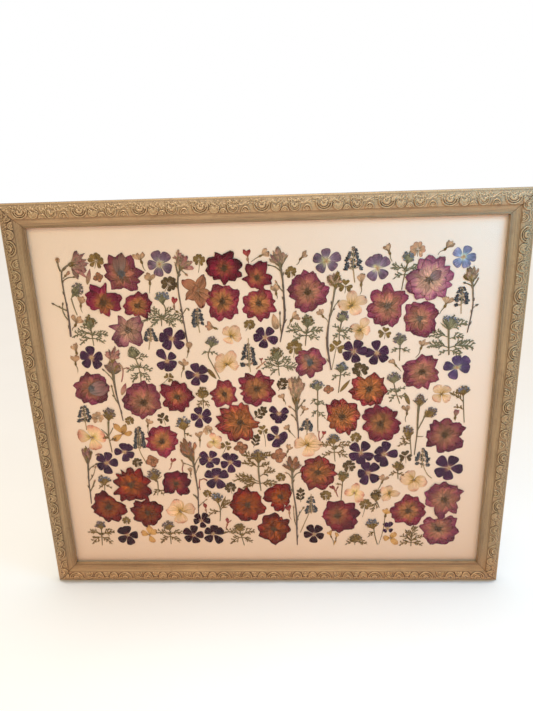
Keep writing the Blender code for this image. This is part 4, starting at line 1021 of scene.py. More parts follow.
# Phlox: the middle, the points its petals lean towards, and the colour.
PHLOX = (
    ((-133.4, 198), ((-138, 210), (-125, 208), (-122.6, 193), (-135.5, 187), (-144.7, 197.5)), "phlox_violet"),
    ((78.5, 196.5), ((77.5, 208), (66.8, 200.6), (71, 187.7), (87, 189), (91, 202)), "phlox_violet"),
    ((142.8, 186), ((133, 194), (143, 199), (153, 194), (136, 176), (151, 178)), "phlox_violet"),
    ((248.8, 197.5), ((253, 207), (260, 197), (252.5, 188), (241, 190), (240, 203.6)), "phlox_slate"),
    ((-126, 99), ((-130, 110), (-138, 101), (-133, 89), (-116, 90), (-113, 104))),
    ((-134.5, 69), ((-143, 80), (-127, 76), (-126, 64), (-133, 58), (-144, 62))),
    ((-237, 75), ((-237.5, 87), (-226, 77), (-229.6, 65), (-245.5, 66), (-248, 79))),
    ((-2, 99), ((-8, 108), (5, 108), (10, 95), (-4, 88), (-13, 98))),
    ((115, 77), ((106, 85), (120, 88), (128, 77), (118, 66), (105, 71))),
    ((145, 75), ((144, 87), (156, 78), (154, 66), (141, 63), (134, 75))),
    ((-95.5, 48.5), ((-98, 60), (-107, 48), (-98, 37), (-86, 42), (-86, 56))),
    ((251, 52), ((249, 64), (261, 62), (263, 50), (246, 41), (238, 54)), "phlox_blue"),
    ((-95, -13), ((-98, -3), (-105, -14), (-98, -25), (-85, -19), (-85, -7))),
    ((14, -10), ((5, -4), (23, -6), (21, -16), (13, -21), (6, -15))),
    ((10, -45), ((8, -33), (21, -43), (17, -52), (9, -57), (0, -46))),
    ((-207.5, -66), ((-209, -56), (-199, -59), (-198, -71), (-207, -77), (-218, -65))),
    ((-235, -83), ((-231, -71), (-244, -75), (-245, -88), (-235, -96), (-223, -83))),
    ((-86, -79), ((-95, -71), (-81, -70), (-76, -82), (-86, -89), (-97, -82))),
    ((-57, -84), ((-63, -74), (-51, -75), (-46, -86), (-56, -96), (-67, -87))),
    ((-78, -108), ((-78, -97), (-90, -103), (-66, -103), (-87, -119), (-72, -120))),
    ((127, -71), ((117, -62), (134, -60), (116, -77), (127, -84), (139, -77))),
    ((159, -74), ((162, -60), (151, -68), (150, -80), (160, -88), (173, -73))),
    ((138, -103), ((134, -91), (147, -93), (127, -103), (132, -116), (148, -112))),
    ((250, -96), ((238, -85), (255, -83), (264, -98), (250, -110), (237, -103))),
    ((-217, -203), ((-217, -192), (-206, -203), (-213, -215), (-227, -211), (-227, -196)), "phlox_plum"),
    ((-118, -204), ((-116, -192), (-128, -197), (-127, -210), (-115, -214), (-107, -203)), "phlox_plum"),
    ((-104.5, -179), ((-110, -171), (-99, -170), (-95, -179), (-103, -188), (-113, -180)), "phlox_plum"),
    ((-88, -202), ((-87, -191), (-77, -197), (-80, -213), (-96, -211), (-97, -197)), "phlox_plum"),
    ((61, -203), ((55, -192), (68, -193), (71, -206), (60, -214), (50, -204)), "phlox_plum"),
    ((168, -194), ((165, -187), (172, -186), (173, -197), (164, -198))),
)
# Thin-petalled flowers: the middle, the petals' middles, the petals' width and the colour.
PALE_FLOWERS = (
    ((-47, 101), ((-53, 108), (-42, 110), (-38, 99), (-50, 95)), 14),
    ((-54, 62), ((-62, 70), (-49, 74), (-44, 61), (-64, 58)), 15),
    ((111, 139), ((111.6, 151), (122, 146), (117, 131), (100, 138.7)), 15),
    ((123, 106), ((121, 97), (131, 105), (128, 116), (115, 110)), 13),
    ((233, 15), ((227, 22), (239, 22), (240, 9), (227, 9)), 14),
    ((-251, -43), ((-249, -31), (-264, -41), (-239, -42), (-249, -55)), 20, "cream_pink"),
    ((-207, -38), ((-214, -28), (-204, -29), (-199, -38), (-215, -44)), 9, "golden"),
    ((52, -58), ((59, -48), (41, -55), (65, -60), (54, -69)), 19),
    ((202, -115), ((197, -105), (190, -113), (214, -117), (203, -126)), 18),
    ((-135, -163), ((-140, -151), (-148, -162), (-121, -159), (-134, -176)), 20),
    ((119, -135), ((121, -125), (110, -134), (128, -137), (125, -144)), 12, "cream_pink"),
    ((168, -136), ((168, -128), (160, -132), (178, -136), (164, -144)), 12),
    ((173, -210), ((177, -204), (166, -210), (179, -217)), 9, "golden"),
    ((-184, -203), ((-184, -193), (-192, -201), (-177, -199), (-181, -211)), 10, "golden"),
    ((-79, -51), ((-80, -43), (-72, -47), (-73, -58), (-85, -56)), 10, "cream_pink"),
    ((-215, 183.5), ((-215, 187.5), (-211, 184), (-213, 180), (-219, 182)), 6, "dusty"),
    ((81.5, 24), ((81, 28), (86, 24), (82, 20), (77, 24)), 6, "dusty"),
    ((-169, -81), ((-170, -75), (-163, -80), (-168, -87), (-175, -82)), 9, "dusty"),
    ((-41, -61), ((-42, -55), (-35, -60), (-40, -67), (-47, -62)), 8, "dusty"),
    ((12, -74), ((12, -67), (19, -74), (12, -81), (5, -75)), 9, "dusty"),
    ((-86, 163), ((-99, 173), (-80, 175), (-96, 155), (-76, 157), (-84, 149), (-90, 165)), 13, "dusty"),
)
# Lobed leaves: the middle, the width, the stalk's end and the colour.
CLOVERS = (
    ((-215, 205.5), 17, (-218, 195)), ((-82.7, 203), 13, (-84.5, 186)), ((33.7, 184.6), 13, (35, 177)),
    ((-21.4, 117), 12, (-27, 108)), ((103, 165), 16, (102, 155)), ((-134, 45), 12, (-149, 33)),
    ((36, 85), 18, (35, 70)), ((92, 84), 17, (86, 52)), ((155, 102), 15, (154, 93)),
    ((123, 52), 18, (126, 43), "olive_dark"), ((-239, -12), 15, (-240, -20), "tan"), ((-195, -17), 11, (-194, -24)),
    ((-190, -82), 13, (-189, -90), "olive_dark"), ((-9, -35), 13, (-6, -60)), ((-86, -33), 12, (-85, -39), "tan"),
    ((-61, -58), 13, (-70, -76)), ((14, -108), 12, (15, -115)), ((-93, -134), 11, (-92, -141)),
    ((120, -47), 14, (118, -55)), ((-216, -178), 11, (-217, -185)), ((135, -153), 15, (131, -175)),
    ((78, -138), 14, (79, -147)), ((111, -91), 16, (111, -101), "olive_dark"), ((192, 208.5), 17, (192, 199), "rust"),
    ((-123, 173), 18, (-130, 163), "olive_dark"), ((189, -77), 16, (190, -88), "olive_dark"),
    ((-59, -124), 15, (-57, -135), "olive_dark"), ((-148, -15), 15, (-145, -25), "olive_dark"),
)
# Buds: the opening's middle, the stalk's end, the length and the colour.
BUDS = (
    ((-158, 206), (-152.6, 190), 11), ((-242, 151), (-241.5, 137.5), 10), ((-251, 125), (-258.7, 113), 11),
    ((-148, 179), (-150, 161), 11), ((-1, 207), (-16.5, 198), 9), ((-20.5, 206), (-20, 196), 10, "red"),
    ((14, 161), (15, 150), 10), ((49, 203), (41, 193), 9), ((36, 125), (27, 110.5), 11),
    ((-71, 114), (-63, 112), 10, "rust"), ((72.3, 129), (80.3, 118), 9), ((155.7, 208.5), (161, 194), 10),
    ((228.6, 211), (217, 200.6), 10), ((231.7, 140), (223.7, 125), 11), ((123, 170.5), (121.4, 153), 11),
    ((-257.5, 87), (-257, 77), 11), ((-260, 71), (-259, 54), 10), ((-104, 86), (-108, 72), 10),
    ((-112.5, 62), (-117, 45), 10), ((20, 13), (23, 3), 8), ((-8, 67), (-7, 62), 5, "red"), ((204, 84), (196, 67), 10),
    ((168, 60), (178, 48), 9), ((188, -8), (187, -25), 10), ((254, -15), (253, -24), 11, "pink"),
    ((-169, -22), (-172, -37), 9), ((-98.5, -44), (-99, -60), 10), ((-140, -82), (-146, -95), 8, "red"),
    ((-115, -98), (-114, -108), 8), ((48, -5), (43, -14), 8), ((26, -33), (36, -47), 9),
    ((75, -42), (70, -53), 7, "red"), ((26, -64), (23, -77), 9), ((159, -114), (152, -131), 10),
    ((165, -168), (156, -221), 11, "golden"), ((25, -162), (28, -178), 10, "red"), ((-66, -182), (-69, -193), 9, "red"),
    ((-97, -157), (-97, -166), 9, "red"), ((85, -204), (90, -222), 8, "golden"), ((94, -207), (91, -218), 7, "golden"),
    ((-119, 147), (-119, 138), 9, "red"), ((90, -128), (96, -141), 9, "red"),
)
# Curved stalks with a soft tip: the path, the width at each end and the colour.
CURLS = (
    (((-201, 66), (-197, 62), (-196, 56), (-197.5, 48), (-200, 40)), (2.4, 1.6), "pink"),
    (((-196, 58), (-191, 60), (-187, 59)), (1.4, 1.8), "pink"), (((-15, 55), (-8, 61), (-2, 66)), (2.2, 1.4), "rust"),
    (((-127, -79), (-124, -86), (-127, -93), (-126, -99)), (2.6, 1.5), "pink"),
    (((69, -37), (68, -45), (70, -52)), (1.8, 1.2), "red"), (((96, -124), (92, -131), (95, -140)), (1.8, 1.2), "red"),
    (((88, -125), (92, -131)), (2.6, 1.4), "red"), (((-60, -179), (-65, -182), (-68, -190)), (1.6, 1.2), "red"),
    (((-102, -110), (-104, -118), (-103, -128)), (1.8, 1.2), "red"),
    (((-101, -112), (-97, -109), (-92, -113)), (1.4, 2.2), "red"),
    (((93, -214), (91, -218), (90, -222)), (3.4, 1.2), "golden"),
)
# Single leaves and loose petals: the base, the tip, the width, the form and the colour.
LEAVES = (
    ((-230.5, 174), (-225, 195), 6, "lance", "pink"), ((-202, 20), (-195, 38), 7, "lance", "pink"),
    ((14, 109), (9, 130), 10, "pointed", "tan"), ((14, 23), (24, 42), 15, "cut", "olive_dark"),
    ((-81, 56), (-69, 42), 6, "pointed", "olive"), ((-23, -61), (-16, -40), 13, "cut", "olive_dark"),
    ((42, -149), (42, -125), 14, "cut", "olive_dark"), ((191, 0), (183, 18), 6, "lance", "olive"),
    ((97, 20), (110, 38), 5, "lance", "olive"), ((-75, -158), (-67, -138), 3.5, "lance", "olive"),
    ((-20, -17), (-3, 0), 15, "cut", "olive_dark"),
)
# Lupins: the spike's bottom and top, its width and the stalk.
LUPINS = (
    ((-89.5, 115), (-89.5, 140), 17, ((-89, 117), (-88, 107))),
    ((-25, 58), (-24, 92), 23, ((-24, 98), (-25, 75), (-23, 51))),
    ((112, 184), (112, 213), 23, ((112, 190), (114.6, 168.7))), ((250, 136), (250, 160), 19, ((250, 140), (251, 125))),
    ((-258, -20), (-258, 5), 21, ((-258, -12), (-257.5, -31))),
    ((-184, -61), (-184, -27), 17, ((-187, -45), (-186, -65), (-178, -83))),
    ((52, -38), (52, -20), 18, ((52, -30), (52, -43))),
    ((212, -95), (212, -66), 23, ((212, -85), (219, -105), (227, -112))),
    ((57, -168), (57, -140), 19, ((57, -136), (55, -165), (48, -182), (41, -200))),
    ((-154, 96), (-154, 114), 18, ((-154, 104), (-158, 85))),
)
# Small verbenas and umbels: the stalk, the cut leaves, and its head's base, tip, width and colour if it has one.
SPRIGS = (
    (((-254, 157), (-252, 145), (-249, 134)), (((-250, 161), (-243, 159)),), (-253, 158), (-236, 178), 15,
     "grey_purple"),
    (((-233, 114), (-232, 92)),
     (((-233, 108), (-257, 106)), ((-232, 106), (-211, 106)), ((-233, 102), (-250, 94)), ((-232, 102), (-217, 95)),
      ((-233, 112), (-246, 118))), (-233, 114), (-234, 136), 18, "olive"),
    (((-134, 148), (-131, 142), (-130.6, 136)), (), (-134, 146), (-135, 165), 22, "faded_blue"),
    (((-137, 132), (-138, 117)),
     (((-137, 127), (-161, 124)), ((-137, 127), (-150, 139)), ((-136, 127), (-122, 139)), ((-136, 127), (-110, 124)),
      ((-136, 126), (-120, 116)), ((-137, 126), (-152, 117)))),
    (((-75, 86), (-80, 75), (-75, 65), (-65, 42)), (((-78, 80), (-87, 77)), ((-77, 80), (-66, 76))), (-74, 86),
     (-71, 102), 18, "grey_purple"),
    (((14, 66), (15.6, 45)),
     (((14, 58), (-6, 56)), ((15, 58), (39, 56)), ((14, 64), (-1, 68)), ((15, 64), (31, 68)), ((15, 54), (4, 46))),
     (14, 66), (12, 87), 20, "olive"),
    (((54, 110), (52, 98), (51, 86)),
     (((52, 104), (27, 106)), ((53, 104), (73, 106)), ((52, 100), (34, 94)), ((52, 100), (68, 94))), (54, 110),
     (55, 129), 19, "olive"),
    (((180, 191), (176, 172), (174, 157.7)),
     (((179, 184), (160, 186)), ((179, 184), (198, 185)), ((177, 177), (163, 172)), ((177, 177), (192, 172))),
     (180, 190), (182, 207), 18, "faded_blue"),
    (((98, 116), (95, 100), (96, 88)),
     (((97, 108), (87, 112)), ((96, 104), (113, 104)), ((96, 102), (88, 94)), ((96, 100), (109, 94))), (98, 116),
     (100, 134), 17, "grey_purple"),
    (((175, 85), (175, 63)), (((175, 80), (164, 75)), ((175, 80), (187, 75))), (175, 84), (174, 102), 20,
     "grey_purple"),
    (((98, 50), (97, 38), (95, 19)), (((97, 44), (86, 38)), ((97, 44), (110, 44))), (98, 47), (100, 64), 19,
     "faded_blue"),
    (((169, 31), (172, 18), (178, 2)),
     (((171, 24), (160, 16)), ((172, 20), (184, 24)), ((173, 15), (164, 5)), ((174, 13), (188, 10))), (169, 31),
     (168, 48), 20, "grey_purple"),
    (((262, 12), (263, 0), (266, -27)), (((262, 4), (246, 16)), ((264, -8), (251, -4))), (262, 12), (261, 28), 22,
     "faded_blue"),
    (((67, 22), (67, 0), (67, -38)),
     (((67, 10), (58, 4)), ((67, 8), (76, 2)), ((67, -6), (59, -15)), ((67, -8), (77, -18))), (67, 22), (65, 39), 19,
     "faded_blue"),
    (((-90, 14), (-90, -1)), (((-90, 12), (-98, 0)), ((-90, 12), (-83, 1))), (-90, 13), (-90, 32), 18, "olive"),
    (((-178, 76), (-173, 55), (-173, 40)),
     (((-174, 60), (-191, 54)), ((-173, 60), (-157, 55)), ((-173, 54), (-185, 40)), ((-173, 54), (-162, 40)),
      ((-176, 72), (-161, 75))), (-178, 72), (-181, 90), 20, "grey_green"),
    (((-119, -34), (-119, -45)), (((-119, -38), (-110, -43)),), (-119, -34), (-121, -9), 25, "faded_blue"),
    (((89, -57), (91, -84)),
     (((89, -62), (70, -58)), ((90, -62), (112, -60)), ((90, -70), (73, -78)), ((90, -70), (108, -78))), (89, -58),
     (88, -41), 19, "faded_blue"),
    (((179, -100), (180, -113)), (((179, -103), (167, -107)), ((179, -104), (188, -108))), (179, -101), (181, -83), 19,
     "olive"),
    (((102, -116), (101, -130), (100, -147)), (((101, -122), (93, -120)),), (102, -117), (102, -97), 19, "grey_green"),
    (((-164, -112), (-164, -125), (-166, -136)), (((-164, -126), (-172, -136)), ((-164, -126), (-157, -136))),
     (-166, -114), (-171, -90), 23, "grey_purple"),
    (((-242, -117), (-243, -127)), (((-242, -118), (-251, -124)), ((-242, -118), (-233, -124))), (-242, -119),
     (-242, -101), 21, "faded_blue"),
    (((-78, -150), (-75, -160), (-77, -180)), (((-76, -162), (-60, -148)), ((-76, -164), (-94, -172))), (-78, -151),
     (-80, -131), 17, "faded_blue"),
    (((151, -149), (155, -159)), (((152, -151), (144, -166)),), (150, -150), (149, -128), 16, "olive_dark"),
    (((148, -194), (150, -207), (154, -221)), (((149, -200), (140, -208)),), (148, -195), (142, -177), 22,
     "faded_blue"),
    (((121, -214), (121, -222)), (((120, -216), (107, -221)), ((122, -216), (138, -220))), (121, -219), (121, -201),
     21, "olive"),
    (((203, -200), (203, -224)),
     (((203, -214), (207, -192)), ((203, -215), (188, -207)), ((203, -215), (219, -208)), ((203, -218), (187, -222)),
      ((203, -218), (219, -223)), ((203, -212), (196, -198)))),
    (((-48, -199), (-43, -222)),
     (((-47, -204), (-70, -199)), ((-46, -204), (-27, -199)), ((-46, -208), (-63, -218)), ((-45, -208), (-31, -217))),
     (-48, -199), (-49, -183), 16, "olive"),
    (((-153, -196), (-153, -219)),
     (((-153, -202), (-172, -200)), ((-153, -202), (-135, -201)), ((-153, -206), (-168, -216)),
      ((-153, -206), (-140, -216))), (-153, -196), (-155, -178), 21, "grey_purple"),
    (((-256, -194), (-258, -221)),
     (((-257, -202), (-276, -198)), ((-257, -202), (-237, -199)), ((-257, -206), (-272, -218)),
      ((-257, -206), (-243, -218))), (-256, -194), (-256, -178), 16, "grey_purple"),
    (((194, -50), (195, -58), (197, -76)), (((195, -58), (178, -61)), ((194, -54), (181, -50))), (194, -52),
     (188, -27), 17, "grey_purple"),
)


def make_phlox(number, middle, leans, colour="phlox_dark"):
    flower = Specimen(f"phlox_{number:02d}", "dried_violet_petal")
    rnd = flower.random
    middle = np.array(middle)
    reaches = [np.array(lean) - middle for lean in leans]
    spans = [np.linalg.norm(reach) for reach in reaches]
    for k, reach in enumerate(reaches):
        way = unit(reach)
        flower.blade(middle + way * 0.8, middle + way * spans[k] * 1.37, np.mean(spans) * rnd.uniform(1.00, 1.12),
                     colour, 0.20 + 0.09 * (k * 2 % 5), "wedge", 11, 8, wave=0.14, frill=0.03, sway=0.05,
                     dusk=(0.82, 1.18))
    for k in range(7):
        way = heading(k * 0.9 + rnd.uniform(-0.2, 0.2))
        flower.blade(middle, middle + way * rnd.uniform(2.6, 4.6), 1.9, "cream", 0.72, "pointed", 3, wave=0.05,
                     heart=(0.3, 0.8), dusk=0.7)
    flower.blade(middle + (0.0, -0.9), middle + (0.0, 0.9), 1.6, "golden", 0.82, "round", 3, heart=(0.0, 0.3))
    flower.make()


def make_pale_flower(number, middle, petals, width, colour="cream"):
    """The dusty ones have broader, rounder petals, and these and the golden ones are more torn."""
    flower = Specimen(f"pale_flower_{number:02d}", "dried_cream_petal")
    rnd = flower.random
    middle = np.array(middle, float)
    torn = 0.16 if colour in ("dusty", "golden") else 0.10
    dusty = colour == "dusty"
    for k, spot in enumerate(petals):
        reach = np.array(spot, float) - middle
        flower.blade(middle + unit(reach) * 0.4, middle + reach * 1.52,
                     width * rnd.uniform(0.92, 1.08) * (1.15 if dusty else 1.0), colour, 0.18 + 0.10 * (k * 2 % 4),
                     "round" if dusty else rnd.choice(("obovate", "round")), 9, 8, wave=0.18, frill=torn, sway=0.08,
                     dusk=(0.86, 1.08))
    for k in range(6):
        way = heading(k * 1.05 + rnd.uniform(-0.3, 0.3))
        flower.blade(middle, middle + way * width * rnd.uniform(0.16, 0.28), 0.9,
                     "olive" if colour == "cream" else "rust", 0.62, "lance", 3, wave=0.05)
    flower.make()


def make_clover(number, middle, width, stalk, colour="olive"):
    """Three or four notched lobes round the top of a stalk."""
    leaf = Specimen(f"lobed_leaf_{number:02d}", "dried_leaf")
    rnd = leaf.random
    middle, stalk = arrays(middle, stalk)
    way = unit(middle - stalk)
    foot = middle - way * width * 0.04
    lobes = rnd.choice((3, 4, 4))
    for k in range(lobes):
        angle = math.radians(106 if lobes == 3 else 122) * (2 * k / (lobes - 1) - 1) + rnd.uniform(-0.10, 0.10)
        size = width * rnd.uniform(0.54, 0.64)
        dusk = rnd.uniform(0.85, 1.25)
        for half, lean in enumerate((-0.30, 0.30)):
            end = foot + turned(way, angle + lean * rnd.uniform(0.85, 1.1)) * size * rnd.uniform(0.94, 1.04)
            leaf.blade(foot + (end - foot) * 0.06, end, size * rnd.uniform(0.52, 0.62), colour,
                       0.22 + 0.06 * k + 0.03 * half, "petal", 8, 6, bend=-0.10 * math.copysign(1, lean),
                       heart=(0.1, 0.9), frill=0.04, dusk=dusk * rnd.uniform(0.9, 1.1))
    bend = (foot + stalk) / 2 + turned(way, math.pi / 2) * rnd.uniform(-1.2, 1.2)
    leaf.stem((foot, bend, stalk), (1.0, 0.7), "stem_tan" if colour == "tan" else "stem", 0.2)
    leaf.make()


def make_bud(number, top, stalk, length, colour="tan"):
    """A small trumpet of a few petals in a dark cup, on a thin curved stalk. Red ones are narrow."""
    bud = Specimen(f"bud_{number:02d}", "dried_small_bloom")
    rnd = bud.random
    red = colour == "red"
    top, stalk = arrays(top, stalk)
    way = turned(unit(top - stalk), rnd.uniform(-0.15, 0.15))
    cup = top - way * length * 0.45
    leans = rnd.choice(((-0.58, 0.58, 0.0), (-0.52, 0.08, 0.70), (-0.30, 0.34, 0.0), (-0.72, -0.25, 0.28)))
    bud.blade(cup, cup + way * length * 0.80, length * (0.30 if red else 0.52), colour, 0.20, "petal", 6, 5, dusk=0.85)
    for k, angle in enumerate((-0.18, 0.34) if red else leans):
        size = length * rnd.uniform(0.95, 1.2)
        foot = cup + way * size * 0.22
        bud.blade(foot, foot + turned(way, angle + rnd.uniform(-0.1, 0.1)) * size * 0.88,
                  size * rnd.uniform(0.40, 0.54), colour, 0.26 + 0.10 * k, rnd.choice(("obovate", "petal")), 7, 6,
                  wave=0.12, frill=0.14, sway=0.16, dusk=(0.75, 1.15))
    bud.blade(cup - way * length * 0.25, cup + way * length * 0.36, length * 0.34, "rust" if red else "olive", 0.62,
              "pointed", 5, 4, heart=(0.2, 0.8), dusk=0.85)
    foot = cup - way * length * 0.18
    bend = (foot + stalk) / 2 + turned(way, math.pi / 2) * rnd.uniform(-2.2, 2.2)
    bud.stem((foot, bend, stalk), (1.3, 0.7), "red" if red else "stem", 0.25)
    bud.make()


def make_curl(number, path, widths, colour):
    curl = Specimen(f"curled_bud_{number:02d}", "dried_small_bloom")
    curl.stem(path, widths, colour, 0.25)
    curl.make()


def make_lupin(number, bottom, top, width, stalk):
    """A bluebonnet: dark florets in rough pairs up a tan spike, with pale buds at its top."""
    spike = Specimen(f"bluebonnet_{number:02d}", "dried_small_bloom")
    rnd = spike.random
    bottom, _, axis, length, up, right = span(bottom, top)
    spike.stem(stalk, (1.2, 1.4), "stem_tan", 0.25)
    spike.stem((bottom, bottom + axis * 0.5 + right * 0.6, bottom + axis * 0.94), (1.8, 1.0), "stem_tan", 0.3)
    rows = max(int(length / 3.3), 5)
    for k in range(rows * 3):
        t = (k / 3 + rnd.uniform(0.0, 0.9)) / rows
        side = (-1, 1, 0)[k % 3]
        if rnd.random() < 0.10:
            continue
        aside = side * width * (0.33 - 0.22 * t * t) * rnd.uniform(0.7, 1.15) + rnd.uniform(-0.8, 0.8)
        spot = bottom + axis * t * 0.93 + right * aside
        way = turned(up, -side * rnd.uniform(0.3, 1.2))
        size = rnd.uniform(5.2, 7.0) * (1.0 - 0.30 * t) * (0.85 if side == 0 else 1.0)
        for lean in (-0.85, 0.0, 0.8):
            spike.blade(spot - way * size * 0.35, spot + turned(way, lean) * size * rnd.uniform(0.5, 0.7),
                        size * rnd.uniform(0.45, 0.65), "slate_blue", 0.40 + rnd.uniform(0, 0.25),
                        rnd.choice(("round", "petal")), 5, 4, wave=0.16, frill=0.16,
                        heart=(rnd.uniform(0.0, 0.35), 1.0), dusk=(0.6, 2.2))
        inner = bottom + axis * t * 0.92 + right * side * 0.8
        spike.blade(inner, inner + (spot - inner) * 0.8 + up * 1.4, 1.7, "bract_pale", 0.66, "pointed", 3,
                    dusk=(0.8, 1.3))
    foot = bottom + axis * 0.86
    for lean in (-0.5, -0.1, 0.35):
        spike.blade(foot, foot + turned(up, lean) * rnd.uniform(3.0, 4.6), 2.2, "bract_pale", 0.6, "pointed", 4,
                    dusk=(0.7, 1.1))
    spike.make()


def make_sprig(number, stalk, leaves, *head):
    sprig = Specimen(f"small_verbena_{number:02d}", "dried_leaf")
    sprig.stem(stalk, (1.7, 1.3), "stem", 0.3)
    green = "grey_green" if stalk[0][1] > 20 else "olive"
    for leaf in leaves:
        feather_leaf(sprig, *leaf, green)
    if len(leaves) > 2:
        leaf_tuft(sprig, np.mean([leaf[0] for leaf in leaves], axis=0), green)
    if head:
        bristled_head(sprig, *head, green)
    sprig.make()


def make_loose_leaf(number, base, tip, width, form, colour):
    leaf = Specimen(f"leaf_{number:02d}", "dried_leaf")
    rnd = leaf.random
    base, tip, axis, _, up, _ = span(base, tip)
    if form == "cut":
        leaf.stem((base, base + axis * 0.5, base + axis * 0.95), (0.9, 0.6), colour, 0.25)
        for at in (0.12, 0.36, 0.60):
            for side in (-1, 1):
                foot = base + axis * at
                end = foot + turned(up, side * rnd.uniform(0.65, 0.85)) * width * (0.66 - 0.25 * at)
                leaf.blade(foot, end, width * rnd.uniform(0.28, 0.36), colour, 0.3, "obovate", 6, 4, frill=0.12,
                           dusk=(0.6, 1.0))
        leaf.blade(base + axis * 0.62, tip, width * 0.40, colour, 0.32, "pointed", 6, 4)
    else:
        leaf.blade(base, tip, width, colour, 0.25, form, 12, 8, bend=0.03, wave=0.2, frill=0.02)
    leaf.make()


# ---------------------------------------------------------------- frame rails

SCROLL_REPEAT = 74.7  # mm along a rail
BAND = (11.8, 28.2)  # the ornament's reach, outwards from the opening
RELIEF = 1.8  # mm
TILE_STEP = 0.25  # mm, of the grid that the ornament is worked out on
RAIL_PITCH = 0.7  # mm between rows along a rail
RAIL_WIDTH = 31.0  # mm
MITRE_GAP = 0.15  # mm at each end
LIP_SETBACK = 7.0  # mm from the foremost point to the lip's front
FACE_STEP = 0.58  # mm between points across a rail
COVE = (2.9, 11)  # the combed hollow's reach, outwards from the opening
COMB_HEIGHT, COMB_CROWDING = 0.13, 4.2

# Garlands that hang like bowls: place along, half width, depth.
BOWLS = ((0.0, 9.2, 7.2), (17.0, 5.4, 5.2), (39.4, 6.2, 6.2))
# Hatched arches between them: place along, half width, height.
ARCHES = ((27.6, 4.4, 4.6), (54.6, 4.8, 6.2))
# Points of the rail's face: outwards from the opening and forwards from the lip's front.
FACE = (
    (0, -4), (0, -0.1), (0.1, 0.35), (0.5, 0.6), (1.4, 0.72), (2.3, 0.55), (2.6, 0.2), (2.9, 0.2), (4.5, 0.5),
    (6.5, 1.05), (8.5, 1.8), (10.2, 2.9), (11.0, 3.6), (11.3, 4.2), (11.8, 4.7), (12.6, 5.1), (14.5, 5.7), (16.5, 5.95),
    (18.5, 5.7), (20.5, 5.1), (22.5, 4.1), (24.5, 2.9), (26.5, 1.7), (28.0, 0.9), (28.4, 0.2), (28.8, 0.0),
    (29.6, -0.2), (30.4, -0.7), (30.85, -1.3), (31.0, -2.2), (31.0, -13.0),
)
# The corners of its back, from the outer side round the rebate to the lip.
BACK = ((31.0, -13.0), (7.4, -13.0), (7.4, -4.0), (0.0, -4.0))
# How bright the gilt is where it isn't carved: places outwards from the opening, and the values there.
# The step up to 0.74 at the outer bead is a painted highlight.
PLAIN_GILT = ((0, 1.2, 1.8, 4.0, 8.0, 11.0, 28.3, 28.8, 30.5), (0.30, 0.30, 0.36, 0.38, 0.53, 0.50, 0.30, 0.74, 0.62))
# Dark grooves along a rail: how far out, how wide and how dark.
GROOVES = ((2.75, 0.22, 0.35), (11.4, 0.4, 0.6), (28.3, 0.45, 0.9))


def scroll_lines():
    """The centre lines of the ornament's ridges, with the half width and height of each."""
    lines = []

    def ridge(along, out, half, tall):
        lines.append((np.stack([along, out], 1), half, tall))

    for place, wide, deep in BOWLS:
        angle = np.linspace(-1.8, 1.8, 50)
        for share, half, tall in ((1.0, 0.75, 1.0), (0.70, 0.55, 0.8), (0.30, 1.25, 0.8)):
            ridge(place + wide * share * np.sin(angle), 12.8 + deep - deep * share * np.cos(angle), half, tall)
        t = np.linspace(0, 1, 24)
        radius = 1.9 * (1 - 0.7 * t)
        for side in (-1, 1):
            ridge(place + side * (wide - 1.8 + radius * np.cos(5 * t)), 13.6 + deep + radius * np.sin(5 * t), 0.5, 0.85)
    for place, wide, tall in ARCHES:
        angle = np.linspace(-1.5, 1.5, 40)
        for share, half, high in ((1.0, 0.7, 0.95), (0.64, 0.5, 0.8)):
            ridge(place + wide * share * np.sin(angle), 12.3 + tall * share * np.cos(angle), half, high)
        t = np.linspace(0.1, 0.5, 8)
        for lean in (-1.1, -0.55, 0.0, 0.55, 1.1):
            ridge(place + wide * t * math.sin(lean), 12.3 + tall * t * math.cos(lean), 0.35, 0.6)
    rnd = random.Random("foliage")
    for k in range(64):
        t = np.linspace(-1, 1, 9)
        lean, size, bow = rnd.uniform(0.2, 1.4) * rnd.choice((-1, 1)), rnd.uniform(1.0, 2.2), rnd.uniform(-0.8, 0.8)
        ridge(k * SCROLL_REPEAT / 64 + size * t * math.cos(lean) - bow * (1 - t * t) * math.sin(lean),
              rnd.uniform(21.0, 26.6) + size * t * math.sin(lean) + bow * (1 - t * t) * math.cos(lean), 0.5, 0.55)
    return lines


def blurred(field, reach):
    """The mean of a repeating field over a square."""
    for axis in (0, 1):
        field = np.mean([np.roll(field, k, axis) for k in range(-reach, reach + 1)], axis=0)
    return field


def ornament_tile():
    """Over one repeat, on a fine grid of (along, across): the ornament's height from 0 to 1, and how bright it is."""
    s = np.arange(0, SCROLL_REPEAT, TILE_STEP)
    u = np.arange(BAND[0], BAND[1] + TILE_STEP, TILE_STEP)
    along, across = np.meshgrid(s, u, indexing="ij")
    height = np.zeros(along.shape)
    for line, half, tall in scroll_lines():
        nearest = np.full(along.shape, 9.0)
        for place, out in line:
            gap = np.abs(along - place % SCROLL_REPEAT)
            nearest = np.minimum(nearest, np.hypot(np.minimum(gap, SCROLL_REPEAT - gap), across - out))
        height = np.maximum(height, tall * np.sqrt(np.clip(1 - (nearest / (half * 1.25)) ** 2, 0, 1)))
    height = height * np.clip(np.minimum(u - BAND[0], BAND[1] - u) / 0.8, 0, 1)[None]
    # Lighter crests and darker hollows: partly a dark wash in the hollows, partly painted highlights on the crests and
    # painted shade in the hollows.
    bright = 0.49 + 0.10 * height + 1.1 * (height - blurred(height, 4)) + 0.28 * (height - blurred(height, 14))
    return np.stack([height, bright])


